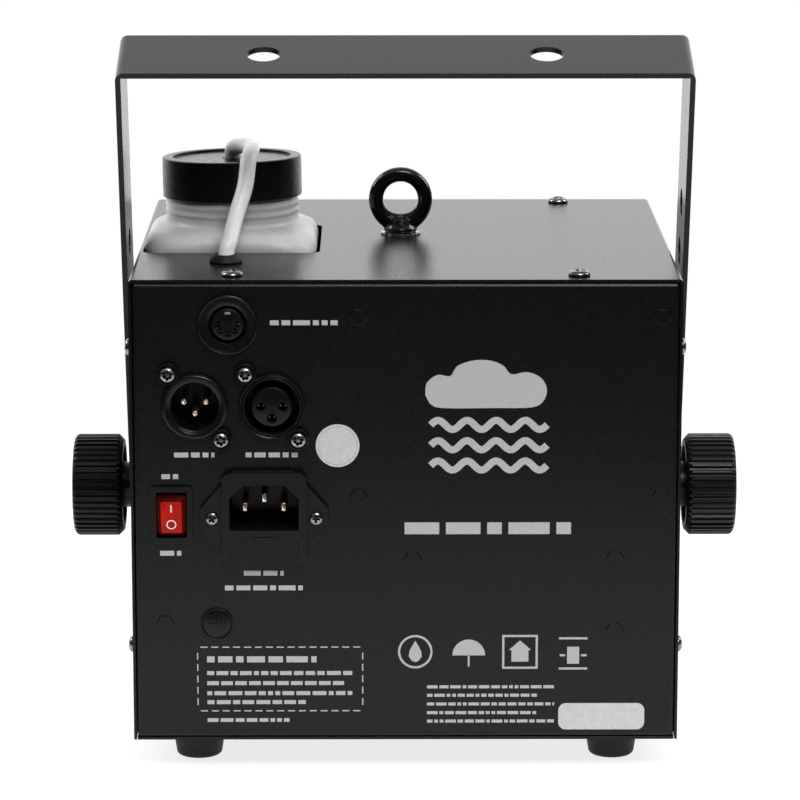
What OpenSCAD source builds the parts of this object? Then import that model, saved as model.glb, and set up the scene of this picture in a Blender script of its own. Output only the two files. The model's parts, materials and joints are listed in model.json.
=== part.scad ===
// Compact fog machine: a folded steel case on rubber feet, a fluid bottle let into the lid,
// a pump and heater inside, connectors on one end, and a tilting yoke held by two knobs.
// Origin on the floor under the middle of the case, +Z up, +X to the right as seen from the
// connector panel, which faces -Y. The nozzle and the fan face +Y. Millimetres.

/* [Case] */
// Outside width of the case
case_w = 199; // [190:1:260]
// Outside depth, connector panel face to nozzle panel face
case_d = 190; // [180:1:260]
// Outside height of the case without its feet
case_h = 171; // [165:1:230]
// Thickness of the folded sheet
sheet = 1; // [0.8:0.1:1.3]
// Depth of the flanges round the two end panels
flange_d = 16; // [14:1:20]
// Outside bend radius of the end panels
bend_r = 2; // [1.5:0.1:3]
// How far the screws stand in from the panel faces
screw_in = 9; // [7:0.5:10]

/* [Feet] */
// Height of a rubber foot
foot_h = 11; // [9:0.5:20]
// Diameter of a rubber foot at the case
foot_d = 20; // [16:0.5:26]
// How far the feet stand in from the sides of the case
foot_in = 23; // [20:0.5:30]
// How far the feet stand in from the end panels
foot_in_end = 20.5; // [20:0.5:30]

/* [Yoke and knobs] */
// Radius from the pivot to the outside of the yoke's cross strip
yoke_r = 181; // [175:1:230]
// Width of the yoke strip
yoke_w = 34; // [28:1:44]
// Thickness of the yoke strip
yoke_t = 2; // [1.5:0.1:3]
// Lean of the yoke towards the connector side when at rest, degrees
yoke_lean = 17.5; // [0:0.5:30]
// Gap between the case side and a yoke leg, filled by a washer
yoke_gap = 3; // [2.6:0.1:6]
// Diameter of the two hanging holes in the yoke
hang_d = 12.5; // [8:0.5:16]
// Distance of the hanging holes from the middle of the yoke
hang_x = 51.4; // [30:0.1:70]
// Height of the pivot above the bottom of the case
pivot_up = 75; // [65:1:95]
// Pivot offset towards the connector side
pivot_y = -3; // [-10:0.5:10]
// Diameter of a tilt knob
knob_d = 39; // [30:1:50]
// Length of a tilt knob
knob_l = 19; // [14:1:26]
// Number of ribs round a knob
knob_ribs = 46; // [24:2:60]
// Thread diameter of the knob stud
stud_d = 6; // [5:1:8]

/* [Bottle] */
// Width of the square fluid bottle
bottle_w = 62; // [45:0.5:63]
// Depth of the bottle below the lid
bottle_in = 85.5; // [82:0.5:88]
// Wall of the bottle
bottle_wall = 1.5; // [1:0.1:2.5]
// Gap round the bottle in the lid opening
bottle_gap = 2; // [1.5:0.1:3]
// Diameter of the bottle neck bead
neck_d = 51.5; // [40:0.5:54]
// Diameter of the bottle cap
cap_d = 52.7; // [42:0.1:56]
// Height of the bottle cap
cap_h = 15; // [12:0.5:20]
// Outside diameter of the fluid tube
tube_d = 6; // [5:0.1:8]

/* [Connectors] */
// Diameter of an XLR flange
xlr_d = 24; // [22:0.1:26]
// Diameter of the DIN socket ring
din_d = 21.7; // [18:0.1:24]
// Width of the power switch bezel
switch_w = 15.2; // [13:0.1:20]
// Height of the power switch bezel
switch_h = 21; // [19:0.1:28]
// Width of the inlet's rounded front
inlet_w = 30.6; // [29.5:0.1:34]
// Height of the inlet's rounded front
inlet_h = 33.7; // [33:0.1:38]

/* [Works] */
// Width of the heater block
heater_w = 44; // [36:1:50]
// Length of the heater block
heater_l = 95; // [80:1:110]
// Height of the heater block
heater_h = 34; // [28:1:38]
// Thickness of the heat insulation
jacket_t = 6; // [4:0.5:7]
// Bore of the fog nozzle
nozzle_bore = 2; // [1:0.1:3]
// Side of the square fan
fan_w = 60; // [50:1:70]
// Thickness of the fan
fan_t = 15; // [10:1:25]
// Width of the pump coil
coil_w = 38; // [30:1:40]

/* [Hidden] */
$fn = 48;

// Fits between pieces
fit = 0.05;
slip = 0.1;
loose = 0.3;
cut = 1;

// Levels and faces of the case
floor_z = foot_h;
top_z = foot_h + case_h;
side_x = case_w / 2;
end_y = case_d / 2;
back_y = -end_y;
base_top = floor_z + sheet;
inner_x = side_x - sheet;
pan_w = case_w - 2 * sheet - 2 * loose / 2;
pan_h = case_h - 2 * sheet;
pan_r = 3;
cover_in = 0.6;
cover_r = 1.5;

// Screws of the case: M3 pan heads
m3 = 3;
m3_head = 8;
m3_head_h = 2.1;
m3_len = 5;
lid_screw_x = side_x - 37;
side_screw_low = floor_z + 34;
side_screw_high = floor_z + 145;
screw_y = end_y - screw_in;

// Pivot
pivot_z = floor_z + pivot_up;
leg_x = side_x + yoke_gap;
insert_d = 10.8;
insert_l = 9;
knob_x = leg_x + yoke_t + slip;
collar_d = 17.5;
collar_l = 3.2;

// Bottle and its opening, measured from the left side of the case
bottle_x = -side_x + bottle_gap + 1.2 + bottle_w / 2;
bottle_y = -3.5;
shelf_z = top_z - bottle_in;
bottle_r = 11;
shoulder_z = top_z + 1;
neck_z = top_z + 10.5;
cap_z = top_z + 17;
cap_top = cap_z + cap_h;
cap_recess_d = cap_d - 8.1;
cap_x = bottle_x;
cap_y = bottle_y;
thread_d = neck_d - 6;
cradle_t = 1.2;
cradle_foot = 9;
hole_x = cap_x - 0.6;
hole_y = bottle_y - bottle_w / 2 - 22.1;

// Connector places, from the left side and the bottom of the case
function from_left(x) = -side_x + x;
function from_right(x) = side_x - x;
function up(z) = floor_z + z;
din_at = [from_left(35.6), up(154.9)];
xlr_in_at = [from_left(23.5), up(125)];
xlr_out_at = [from_left(51.3), up(125)];
switch_at = [from_left(14.8), up(84.9)];
inlet_at = [from_left(48.3), up(84)];
earth_at = [from_left(30.8), up(44.1)];
clamp_at = [from_left(12), up(44.2)];
board_studs = [for (x = [116.4, 7.2], z = [91.2, 157.4]) [from_right(x), up(z)]];
power_studs = [[from_right(96.9), up(68)], [from_right(23.4), up(68.3)], [from_right(23.4), up(41.3)]];
stud_hex = 6;
stud_l = 8;
board_y = back_y + sheet + stud_l;
board_t = 1.6;
sticker_at = [from_left(74.9), up(110.4)];
strip_at = [from_right(27.9), up(8.9)];
label_t = 0.2;

// Connector details
xlr_flange_t = 2.5;
xlr_barrel = xlr_d - 2.6;
xlr_l = 22;
xlr_cavity = 17.3;
xlr_ear = [-9.5, 12];
xlr_ear_d = 7.4;
xlr_pin_d = 2.4;
xlr_pins = [[-4, 1.2], [4, 1.2], [0, -3]];
// How much lower the socket's holes sit than the plug's pins
xlr_out_drop = 1.2;
xlr_insert = 14.7;
din_insert_d = 11.7;
din_cup = din_insert_d + 2;
din_barrel = 15.8;
bezel_t = 1.5;
rocker_w = switch_w - 4.6;
rocker_h = switch_h - 5.3;
rocker_tilt = 9;
rocker_y = back_y + 1.2;
rocker_pin = 3;
inlet_raise = 1.5;
inlet_flange_t = 2.5;
inlet_wing = 46.3;
inlet_screw_x = 18.8;
inlet_body_w = 28;
inlet_body_h = 31;
inlet_l = 28;
socket_w = 25.1;
socket_h = 16.8;
socket_up = 4.2;
socket_depth = 17;
socket_cut = 5;
pin_pitch = 14;
pin_up = 3.4;
earth_up = 6.8;
drawer_w = 24.6;
drawer_h = 7.8;
drawer_l = 23;
drawer_up = -10.7;

// Pump, standing under the bottle shelf
pump_x = bottle_x + 7.2;
pump_y = bottle_y - 0.5;
pump_d = 15;
pump_low = base_top + 4;
pump_high = base_top + 76;
pump_bore = 10;
coil_low = base_top + 20;
coil_h = 36;
inlet_barb_z = base_top + 10;
outlet_barb_z = base_top + 70;
barb_d = 5;
barb_l = 26;
plunger_z = base_top + 30;
plunger_l = 28;
spring_top = pump_high - 5;

// Heater, ahead of the fog nozzle
heater_x = from_right(61.5);
heater_z = up(46);
heater_front = end_y - 25;
heater_rear = heater_front - heater_l;
jacket_in_w = heater_w + 2 * fit;
jacket_in_h = heater_h + 2 * fit;
jacket_w = jacket_in_w + 2 * jacket_t;
jacket_h = jacket_in_h + 2 * jacket_t;
strap_t = 1.2;
strap_w = 12;
strap_in = 20;
strap_foot = 10;
stub_l = 19;
stub_d = 6;
terminal_x = 14;
terminal_l = 12;
stub_up = 9;
thermo_d = 14;
nozzle_d = 14;

// Fan, behind the nozzle panel
fan_x = heater_x;
fan_z = up(119);
fan_y = end_y - sheet - fan_t;
fan_hole = fan_w - 4;
fan_pitch = fan_w - 10;
fan_hub = 24;
fan_gap = 1.2;

// Eyebolt
eye_at = [-1.4, 8];
eye_wire = 5.4;
eye_r = 9.4;
eye_z = top_z + 13.6;
eye_collar = 12.7;
eye_shank = 8;
tooth_t = 0.8;

// Fluid tube route: up through the cap, over its rim, down through the lid and to the pump
tube_route = [[cap_x, cap_y, shelf_z + 8], [cap_x, cap_y, cap_z], [cap_x, cap_y, cap_top - 2],
  [cap_x, cap_y, cap_top - 0.4],
  [cap_x + 0.9, cap_y - 2.8, cap_top + 3.6], [cap_x + 4.8, cap_y - 9, cap_top + 5.2],
  [cap_x + 7.8, cap_y - 17, cap_top + 5.2], [cap_x + 8, cap_y - 24, cap_top + 4.8],
  [cap_x + 7.2, cap_y - 29.4, cap_top + 2], [cap_x + 6, cap_y - 35, cap_top - 7],
  [cap_x + 2.9, cap_y - 42, cap_top - 16.5], [cap_x + 0.8, cap_y - 49.6, cap_top - 24.6],
  [hole_x, hole_y, top_z + 4.4], [hole_x, hole_y, top_z], [hole_x, hole_y, top_z - 8],
  [hole_x, hole_y, top_z - 70], [hole_x, hole_y, base_top + 32], [hole_x + 2, hole_y + 3, base_top + 19],
  [pump_x - 3, pump_y - 42, base_top + 11.5], [pump_x, pump_y - 34, inlet_barb_z],
  [pump_x, pump_y - 30, inlet_barb_z], [pump_x, pump_y - barb_l, inlet_barb_z]];

// Feed pipe route, pump to heater
feed_d = 4;
feed_route = [[pump_x, pump_y + barb_l, outlet_barb_z], [pump_x, pump_y + barb_l + 2, outlet_barb_z],
  [pump_x + 2, pump_y + 34, outlet_barb_z - 1],
  [pump_x + 14, pump_y + 46, up(68)], [pump_x + 38, pump_y + 40, up(58)],
  [heater_x - 44, 6, up(44)], [heater_x - 42, heater_rear + 8, up(42)],
  [heater_x - 32, heater_rear - 20, up(44)], [heater_x - 14, heater_rear - 30, up(50)],
  [heater_x - 1, heater_rear - 26, heater_z + stub_up],
  [heater_x, heater_rear - stub_l - 2, heater_z + stub_up], [heater_x, heater_rear - stub_l,
    heater_z + stub_up]];

// Wires: ends meet the tags and terminal blocks
wire_d = 2;
tag_y = back_y + inlet_l + 6;
block_y = board_y + board_t + 10;
block_z = up(97);
block_x = from_right(117.5);
low_block_z = up(60);
low_block_x = from_right(96);
switch_tag_y = back_y + 23;
wires = [
  [[inlet_at[0] + 7, tag_y, inlet_at[1] + pin_up], [inlet_at[0] + 8, tag_y + 7, inlet_at[1] + 3],
   [inlet_at[0] + 22, tag_y + 10, up(91)], [block_x + 4, block_y + 10, block_z],
   [block_x + 4, block_y, block_z]],
  [[inlet_at[0] - 7, tag_y, inlet_at[1] + pin_up], [inlet_at[0] - 9, tag_y + 9, inlet_at[1] + 2],
   [inlet_at[0] - 21, tag_y + 11, inlet_at[1] + 2], [switch_at[0], switch_tag_y + 12, switch_at[1] + 3],
   [switch_at[0], switch_tag_y, switch_at[1] + 3]],
  [[switch_at[0], switch_tag_y, switch_at[1] - 3], [switch_at[0], switch_tag_y + 10, switch_at[1] - 5],
   [inlet_at[0] - 22, tag_y + 14, up(60)], [inlet_at[0] + 1, tag_y + 15, up(56)],
   [inlet_at[0] + 28, tag_y + 6, up(78)], [block_x + 11, block_y + 12, block_z - 2],
   [block_x + 11, block_y, block_z]],
  [[inlet_at[0], tag_y, inlet_at[1] + earth_up], [inlet_at[0], tag_y + 8, inlet_at[1] + 2],
   [inlet_at[0] - 2, tag_y + 9, up(69)], [earth_at[0] + 6, back_y + 30, up(50)],
   [earth_at[0], back_y + 22, earth_at[1]], [earth_at[0], back_y + 14, earth_at[1]]],
  [[pump_x + 8, pump_y - coil_w / 2, coil_low + 28], [pump_x + 8, pump_y - coil_w / 2 - 8, coil_low + 28],
   [pump_x + 9, pump_y - coil_w / 2 - 19, coil_low + 29], [pump_x + 28, pump_y - 43, up(57)],
   [block_x + 8, pump_y - 46, up(79)], [block_x + 18, block_y + 12, block_z - 1],
   [block_x + 18, block_y, block_z]],
  [[heater_x - terminal_x, heater_rear - terminal_l, heater_z],
   [heater_x - terminal_x, heater_rear - terminal_l - 7, heater_z + 1],
   [low_block_x + 14, block_y + 9, low_block_z], [low_block_x + 14, block_y, low_block_z]],
  [[heater_x + terminal_x, heater_rear - terminal_l, heater_z],
   [heater_x + terminal_x, heater_rear - terminal_l - 8, heater_z + 5],
   [heater_x + 2, heater_rear - 30, heater_z + 17], [low_block_x + 20, block_y + 9, low_block_z + 2],
   [low_block_x + 20, block_y, low_block_z]],
  [[fan_x - 28.5, fan_y, fan_z - 6], [fan_x - 28.5, fan_y - 9, fan_z - 12], [fan_x - 33, 30, up(84)],
   [fan_x - 33, -30, up(86)], [block_x + 26, block_y + 12, block_z + 1], [block_x + 26, block_y, block_z]]];

// Colours
powder_black = [0.09, 0.09, 0.1];
plain_black = [0.05, 0.05, 0.055];
steel = [0.72, 0.72, 0.74];
brass = [0.8, 0.65, 0.3];
milky = [0.93, 0.94, 0.94, 0.9];
board_green = [0.1, 0.35, 0.18];

// ---------- shared shapes ----------

// Rectangle with round corners, centred
module round_rect(w, h, r) {
  square([w - 2 * r, h], center = true);
  square([w, h - 2 * r], center = true);
  for (x = [-1, 1], y = [-1, 1]) translate([x * (w / 2 - r), y * (h / 2 - r)]) circle(r);
}

// Rectangle from y = 0 to d whose two corners at y = 0 are round
module nose_rect(w, d, r) {
  translate([-w / 2, r]) square([w, d - r]);
  translate([-w / 2 + r, 0]) square([w - 2 * r, d]);
  for (x = [-1, 1]) translate([x * (w / 2 - r), r]) circle(r);
}

// Extrudes an outline drawn in X and Z along Y, from y0 for a length
module along_y(y0, length) {
  translate([0, y0 + length, 0]) rotate([90, 0, 0]) linear_extrude(length) children();
}

// Extrudes an outline drawn in Y and Z along X, centred
module along_x(length) {
  rotate([90, 0, 90]) linear_extrude(length, center = true) children();
}

// Round bar along Y from y0
module rod_y(d, y0, length) {
  translate([0, y0, 0]) rotate([-90, 0, 0]) cylinder(d = d, h = length);
}

// Round bar along X from x0 outwards, on one side of the case
module rod_x(d, x0, length, side) {
  translate([side * x0, 0, 0]) rotate([0, side * 90, 0]) cylinder(d = d, h = length);
}

// Puts something at a place on the connector panel, with y = 0 on its face
module on_rear(at) {
  translate([at[0], back_y, at[1]]) children();
}

// Pan head cross screw, head on +Z, bearing face at z = 0
module pan_screw(d, head_d, head_h, length) {
  difference() {
    union() {
      cylinder(d = head_d, h = head_h * 0.45);
      translate([0, 0, head_h * 0.45]) cylinder(d1 = head_d, d2 = head_d * 0.6, h = head_h * 0.55);
      translate([0, 0, -length]) cylinder(d = d, h = length + head_h * 0.3);
    }
    for (a = [0, 90]) rotate(a) translate([-head_d * 0.28, -head_d * 0.06, head_h * 0.4])
      cube([head_d * 0.56, head_d * 0.12, head_h]);
  }
}

// The same screw with its head towards -Y
module pan_screw_rear(d, head_d, head_h, length) {
  rotate([90, 0, 0]) pan_screw(d, head_d, head_h, length);
}

// A folded pan: face at y = 0, flanges to y = depth, as a solid block of the outside
module pan_block(w, h, depth, corner, bend) {
  intersection() {
    along_y(0, depth) round_rect(w, h, corner);
    along_x(w + cut) rotate(-90) nose_rect(h, depth, bend);
    translate([0, 0, -h / 2 - cut]) linear_extrude(h + 2 * cut) nose_rect(w, depth, bend);
  }
}

// The folded pan itself, standing on the base plate
module end_pan() {
  difference() {
    pan_block(pan_w, pan_h, flange_d, pan_r, bend_r);
    translate([0, sheet, 0])
      pan_block(pan_w - 2 * sheet, pan_h - 2 * sheet, flange_d, pan_r - sheet, bend_r - sheet + 0.2);
  }
}

// Screw holes in the flanges of an end pan, pan centred on z = 0
module flange_holes() {
  z0 = base_top + pan_h / 2;
  for (x = [-1, 1]) {
    translate([x * lid_screw_x, screw_in, 0]) cylinder(d = m3 + 2 * fit, h = case_h + 4, center = true);
    for (z = [side_screw_low, side_screw_high]) translate([x * pan_w / 2, screw_in, z - z0])
      rotate([0, 90, 0]) cylinder(d = m3 + 2 * fit, h = 6 * sheet, center = true);
  }
}

// ---------- routes ----------

// A wire's points with a short straight lead at each end, along Y: the first lead's way is given
function led(p, way) = concat([p[0], p[0] + [0, way * 1.6, 0]], [for (i = [1 : len(p) - 2]) p[i]],
  [p[len(p) - 1] + [0, 1.6, 0], p[len(p) - 1]]);
function unit(v) = v / norm(v);
function between(a, b, c, d, t) = b + 0.5 * t * (c - a) + t * t * (a - 2.5 * b + 2 * c - 0.5 * d)
  + t * t * t * 0.5 * (3 * b - 3 * c + d - a);
function smooth(p, n) = let (last = len(p) - 1)
  [for (i = [0 : last - 1]) let (a = p[max(i - 1, 0)], d = p[min(i + 2, last)])
    for (j = [0 : n - 1]) between(a, p[i], p[i + 1], d, j / n), p[last]];
// A smoothed route whose first and last stretches stay straight
function cable(p, n) = concat([p[0]], smooth([for (i = [1 : len(p) - 2]) p[i]], n), [p[len(p) - 1]]);
function tangents(p) = [for (i = [0 : len(p) - 1]) unit(p[min(i + 1, len(p) - 1)] - p[max(i - 1, 0)])];
function across(t) = unit(cross(t, abs(t[2]) < 0.9 ? [0, 0, 1] : [0, 1, 0]));
function normals(t) = [for (i = 0, v = across(t[0]); i < len(t);
  i = i + 1, v = i < len(t) ? unit(v - (v * t[i]) * t[i]) : v) v];

// Round tube of diameter d swept along a list of points
module sweep(path, d, sides) {
  t = tangents(path);
  n = normals(t);
  rings = len(path);
  points = [for (i = [0 : rings - 1], j = [0 : sides - 1]) let (a = -360 * j / sides)
    path[i] + d / 2 * (cos(a) * n[i] + sin(a) * cross(t[i], n[i]))];
  walls = [for (i = [0 : rings - 2], j = [0 : sides - 1]) let (k = (j + 1) % sides)
    [i * sides + j, i * sides + k, (i + 1) * sides + k, (i + 1) * sides + j]];
  ends = [[for (j = [0 : sides - 1]) sides - 1 - j], [for (j = [0 : sides - 1]) (rings - 1) * sides + j]];
  polyhedron(points, concat(walls, ends), convexity = 10);
}

// ---------- case ----------

module lid_opening() {
  translate([bottle_x + 0.6, bottle_y, top_z - 5]) linear_extrude(10)
    round_rect(bottle_w + 2 * bottle_gap, bottle_w + 2 * bottle_gap, 4);
}

module top_cover() {
  color(powder_black) difference() {
    along_y(-end_y + cover_in, case_d - 2 * cover_in) difference() {
      translate([0, top_z]) rotate(180) nose_rect(case_w, case_h, cover_r);
      translate([-inner_x, floor_z - cut]) square([2 * inner_x, case_h + cut - sheet]);
    }
    lid_opening();
    translate([hole_x, hole_y, top_z]) cylinder(d = tube_d + 3 + 2 * fit, h = 10, center = true);
    translate([eye_at[0], eye_at[1], top_z]) cylinder(d = eye_shank + loose, h = 10, center = true);
    for (x = [-1, 1], y = [-1, 1]) {
      translate([x * lid_screw_x, y * screw_y, top_z])
        cylinder(d = m3 + loose, h = 10, center = true);
      for (z = [side_screw_low, side_screw_high]) translate([x * side_x, y * screw_y, z])
        rotate([0, 90, 0]) cylinder(d = m3 + loose, h = 10, center = true);
    }
    for (s = [-1, 1]) translate([0, pivot_y, pivot_z]) rod_x(insert_d + 2 * fit, side_x - 5, 10, s);
  }
}

// Feet of the brackets that stand on the base: x, y of each screw
cradle_front = bottle_y - bottle_w / 2 - 2.2;
cradle_rear = bottle_y + bottle_w / 2 + 2.2;
cradle_screws = [for (x = [-24, 24], y = [cradle_front - cradle_foot / 2, cradle_rear + cradle_foot / 2])
  [bottle_x + x, y]];
strap_ys = [heater_rear + strap_in, heater_front - strap_in];
strap_screw_x = jacket_w / 2 + strap_t + strap_foot / 2;
strap_screws = [for (x = [-1, 1], y = strap_ys) [heater_x + x * strap_screw_x, y]];
pump_screws = [for (x = [-1, 1]) [pump_x + x * (coil_w / 2 + 6), pump_y]];
base_screws = [for (x = [-1, 1], y = [-1, 1]) [x * lid_screw_x, y * screw_y]];
foot_places = [for (x = [-1, 1], y = [-1, 1]) [x * (side_x - foot_in), y * (end_y - foot_in_end)]];
m4 = 4;

module base_plate() {
  slot_w = 3;
  slot_l = 43;
  slots = 7;
  slot_pitch = 7.5;
  color(powder_black) difference() {
    translate([-inner_x + loose, -end_y + cover_in, floor_z])
      cube([2 * (inner_x - loose), case_d - 2 * cover_in, sheet]);
    for (p = concat(base_screws, cradle_screws, strap_screws, pump_screws))
      translate([p[0], p[1], floor_z]) cylinder(d = m3 + loose, h = 6, center = true);
    for (p = foot_places) translate([p[0], p[1], floor_z]) cylinder(d = m4 + loose, h = 6, center = true);
    for (i = [0 : slots - 1]) translate([12, back_y + 28 + i * slot_pitch, floor_z - cut])
      linear_extrude(4) round_rect(slot_l, slot_w, 1.4);
  }
}

module rear_panel() {
  zc = base_top + pan_h / 2;
  color(powder_black) difference() {
    translate([0, back_y, zc]) difference() {
      end_pan();
      flange_holes();
    }
    on_rear(din_at) rod_y(din_barrel + loose, -cut, 4);
    for (p = [xlr_in_at, xlr_out_at]) on_rear(p) {
      rod_y(xlr_barrel + loose, -cut, 4);
      for (s = [-1, 1]) translate([s * xlr_ear[0], 0, s * xlr_ear[1]]) rod_y(m3 + 2 * fit, -cut, 4);
    }
    on_rear(switch_at) translate([0, 0, 0]) cube([switch_w - 2, 8, switch_h - 2], center = true);
    on_rear(inlet_at) {
      cube([inlet_body_w + loose, 8, inlet_body_h + loose], center = true);
      for (s = [-1, 1]) translate([s * inlet_screw_x, 0, 0]) rod_y(m3 + 2 * fit, -cut, 4);
    }
    on_rear(earth_at) rod_y(m4 + 2 * fit, -cut, 4);
    for (p = concat(board_studs, power_studs, [clamp_at])) on_rear(p) rod_y(m4 + 2 * fit, -cut, 4);
  }
}

module front_panel() {
  zc = base_top + pan_h / 2;
  color(powder_black) difference() {
    translate([0, end_y, zc]) rotate(180) difference() {
      end_pan();
      flange_holes();
    }
    translate([heater_x, end_y, heater_z]) rod_y(24, -5, 10);
    translate([fan_x, end_y, fan_z]) rod_y(fan_hole, -5, 10);
    for (x = [-1, 1], z = [-1, 1]) translate([fan_x + x * fan_pitch / 2, end_y, fan_z + z * fan_pitch / 2])
      rod_y(m3 + loose, -5, 10);
    for (i = [0 : 7]) translate([0, end_y - 5, up(60) + i * 8]) along_y(0, 10)
      translate([from_left(46), 0]) round_rect(44, 3, 1.4);
  }
}

module case_screws() {
  color(steel) {
    for (x = [-1, 1], y = [-1, 1]) {
      translate([x * lid_screw_x, y * screw_y, top_z]) pan_screw(m3, m3_head, m3_head_h, m3_len);
      for (z = [side_screw_low, side_screw_high]) translate([x * side_x, y * screw_y, z])
        rotate([0, x * 90, 0]) pan_screw(m3, m3_head - 2, m3_head_h - 0.2, m3_len);
    }
    for (p = concat(base_screws, cradle_screws, strap_screws, pump_screws))
      translate([p[0], p[1], floor_z]) rotate([180, 0, 0]) pan_screw(m3, m3_head - 2, m3_head_h, m3_len);
  }
}

module rubber_feet() {
  color(plain_black) for (p = foot_places) translate([p[0], p[1], 0]) difference() {
    rotate_extrude() difference() {
      union() {
        polygon([[0, 0], [foot_d / 2 - 3.2, 0], [foot_d / 2 - 1.5, 1.7], [foot_d / 2, foot_h], [0, foot_h]]);
        translate([foot_d / 2 - 3.2, 1.7]) circle(1.7);
      }
      translate([-foot_d, -foot_d]) square([foot_d, 2 * foot_d + foot_h]);
    }
    translate([0, 0, -cut]) cylinder(d = 9, h = foot_h - 4 + cut);
    cylinder(d = m4 + 2 * fit, h = foot_h + cut);
  }
}

module foot_screws() {
  color(steel) for (p = foot_places) translate([p[0], p[1], 0]) {
    translate([0, 0, foot_h - 4]) rotate([180, 0, 0]) pan_screw(m4, 8, 2.6, 10);
    translate([0, 0, base_top]) difference() {
      cylinder(d = 7.7, h = 3.2, $fn = 6);
      translate([0, 0, -cut]) cylinder(d = m4 + 2 * fit, h = 6);
    }
  }
}

module eyebolt() {
  color(plain_black) translate([eye_at[0], eye_at[1], 0]) {
    translate([0, 0, eye_z]) rotate([90, 0, 0]) rotate_extrude() translate([eye_r, 0]) circle(d = eye_wire);
    translate([0, 0, top_z + tooth_t]) {
      cylinder(d = eye_collar, h = 2);
      translate([0, 0, 2]) cylinder(d1 = eye_collar, d2 = 8, h = 2.6);
    }
    translate([0, 0, top_z - 16]) cylinder(d = eye_shank, h = 18);
  }
}

module eyebolt_washer() {
  teeth = 16;
  color(steel) translate([eye_at[0], eye_at[1], top_z]) difference() {
    cylinder(d = 15.4, h = tooth_t);
    translate([0, 0, -cut]) cylinder(d = eye_shank + loose, h = 4);
    for (i = [0 : teeth - 1]) rotate(i * 360 / teeth) translate([6.6, -0.5, -cut]) cube([3, 1, 4]);
  }
}

module eyebolt_nut() {
  color(steel) translate([eye_at[0], eye_at[1], top_z - sheet - 6.5]) difference() {
    cylinder(d = 15, h = 6.5, $fn = 6);
    translate([0, 0, -cut]) cylinder(d = eye_shank + 2 * fit, h = 9);
  }
}

// ---------- connectors ----------

module xlr_flange() {
  ear = norm(xlr_ear);
  angle = atan2(xlr_ear[1], xlr_ear[0]);
  circle(d = xlr_d);
  rotate(angle) square([2 * ear, xlr_ear_d - 0.8], center = true);
  for (s = [-1, 1]) translate(s * xlr_ear) circle(d = xlr_ear_d);
}

module xlr_shell(inside_d) {
  difference() {
    union() {
      along_y(-xlr_flange_t, xlr_flange_t) xlr_flange();
      rod_y(xlr_barrel, -cut, xlr_l + cut);
    }
    rod_y(inside_d, -xlr_flange_t - cut, xlr_flange_t + 13 + cut);
    for (s = [-1, 1]) translate([s * xlr_ear[0], 0, s * xlr_ear[1]]) rod_y(m3 + 2 * fit, -4, 8);
    for (p = xlr_pins) translate([p[0], 0, p[1]]) rod_y(xlr_pin_d + 2 * fit, 0, xlr_l + cut);
  }
}

module xlr_in_shell() {
  color(plain_black) on_rear(xlr_in_at) xlr_shell(xlr_cavity);
}

module xlr_in_pins() {
  color(brass) on_rear(xlr_in_at) for (p = xlr_pins) translate([p[0], 0, p[1]]) {
    rod_y(xlr_pin_d, 1.5, xlr_l + 3);
    translate([0, 1.5, 0]) sphere(d = xlr_pin_d);
  }
}

module xlr_out_shell() {
  color(plain_black) on_rear(xlr_out_at) difference() {
    xlr_shell(19.5);
    rod_y(xlr_insert - 2, 10, xlr_l);
  }
}

module xlr_out_insert() {
  color(plain_black) on_rear(xlr_out_at) difference() {
    union() {
      rod_y(xlr_insert, -xlr_flange_t + 0.6, 12.4 + xlr_flange_t);
      rod_y(xlr_insert - 2 - 2 * fit, 10, xlr_l - 8);
    }
    for (p = xlr_pins) translate([-p[0], 0, p[1] - xlr_out_drop]) rod_y(3, -xlr_flange_t - cut, 14);
  }
}

module xlr_screws() {
  color(steel) for (p = [xlr_in_at, xlr_out_at], s = [-1, 1]) on_rear(p)
    translate([s * xlr_ear[0], -xlr_flange_t, s * xlr_ear[1]]) pan_screw_rear(m3, 5.5, 1.6, 8);
}

module din_shell() {
  color(plain_black) on_rear(din_at) difference() {
    union() {
      rod_y(din_d, -1.6, 1.6);
      rod_y(din_barrel, 0, 14);
    }
    rod_y(din_cup, -3, 12);
  }
}

module din_insert() {
  color(plain_black) on_rear(din_at) difference() {
    union() {
      rod_y(din_insert_d, -1, 10);
      rod_y(din_cup - 2 * fit, 6, 3);
      translate([-1.2, -0.6, din_insert_d / 2 - 0.4]) cube([2.4, 8, 1.2]);
    }
    for (a = [180 : 45 : 360]) translate([3.5 * cos(a), 0, 3.5 * sin(a)]) rod_y(1.6, -3, 8);
  }
}

module switch_housing() {
  color(plain_black) on_rear(switch_at) difference() {
    union() {
      along_y(-bezel_t, bezel_t) round_rect(switch_w, switch_h, 1.2);
      translate([-switch_w / 2 + 1.2, 0, -switch_h / 2 + 1.2]) cube([switch_w - 2.4, 17, switch_h - 2.4]);
      for (z = [-3, 3]) translate([-2.4, 17, z - 0.4]) cube([4.8, 6, 0.8]);
    }
    translate([-rocker_w / 2 - 0.2, -5, -rocker_h / 2 - 0.55]) cube([rocker_w + 0.4, 13, rocker_h + 1.1]);
    translate([0, rocker_y - back_y, 0]) along_x(rocker_w + 2) circle(d = rocker_pin + 2 * fit);
  }
}

// Power rocker, tilted so that the lower half is pressed in
module switch_rocker() {
  half = rocker_h / 2;
  rise = half * tan(rocker_tilt);
  color([0.85, 0.12, 0.05]) translate([switch_at[0], rocker_y, switch_at[1]]) rotate([rocker_tilt, 0, 0]) {
    along_x(rocker_w) polygon([[-3, 0], [-3 - rise, half], [3, half], [3, -half], [-3 - rise, -half]]);
    along_x(rocker_w + 1.6) circle(d = rocker_pin);
  }
}

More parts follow.
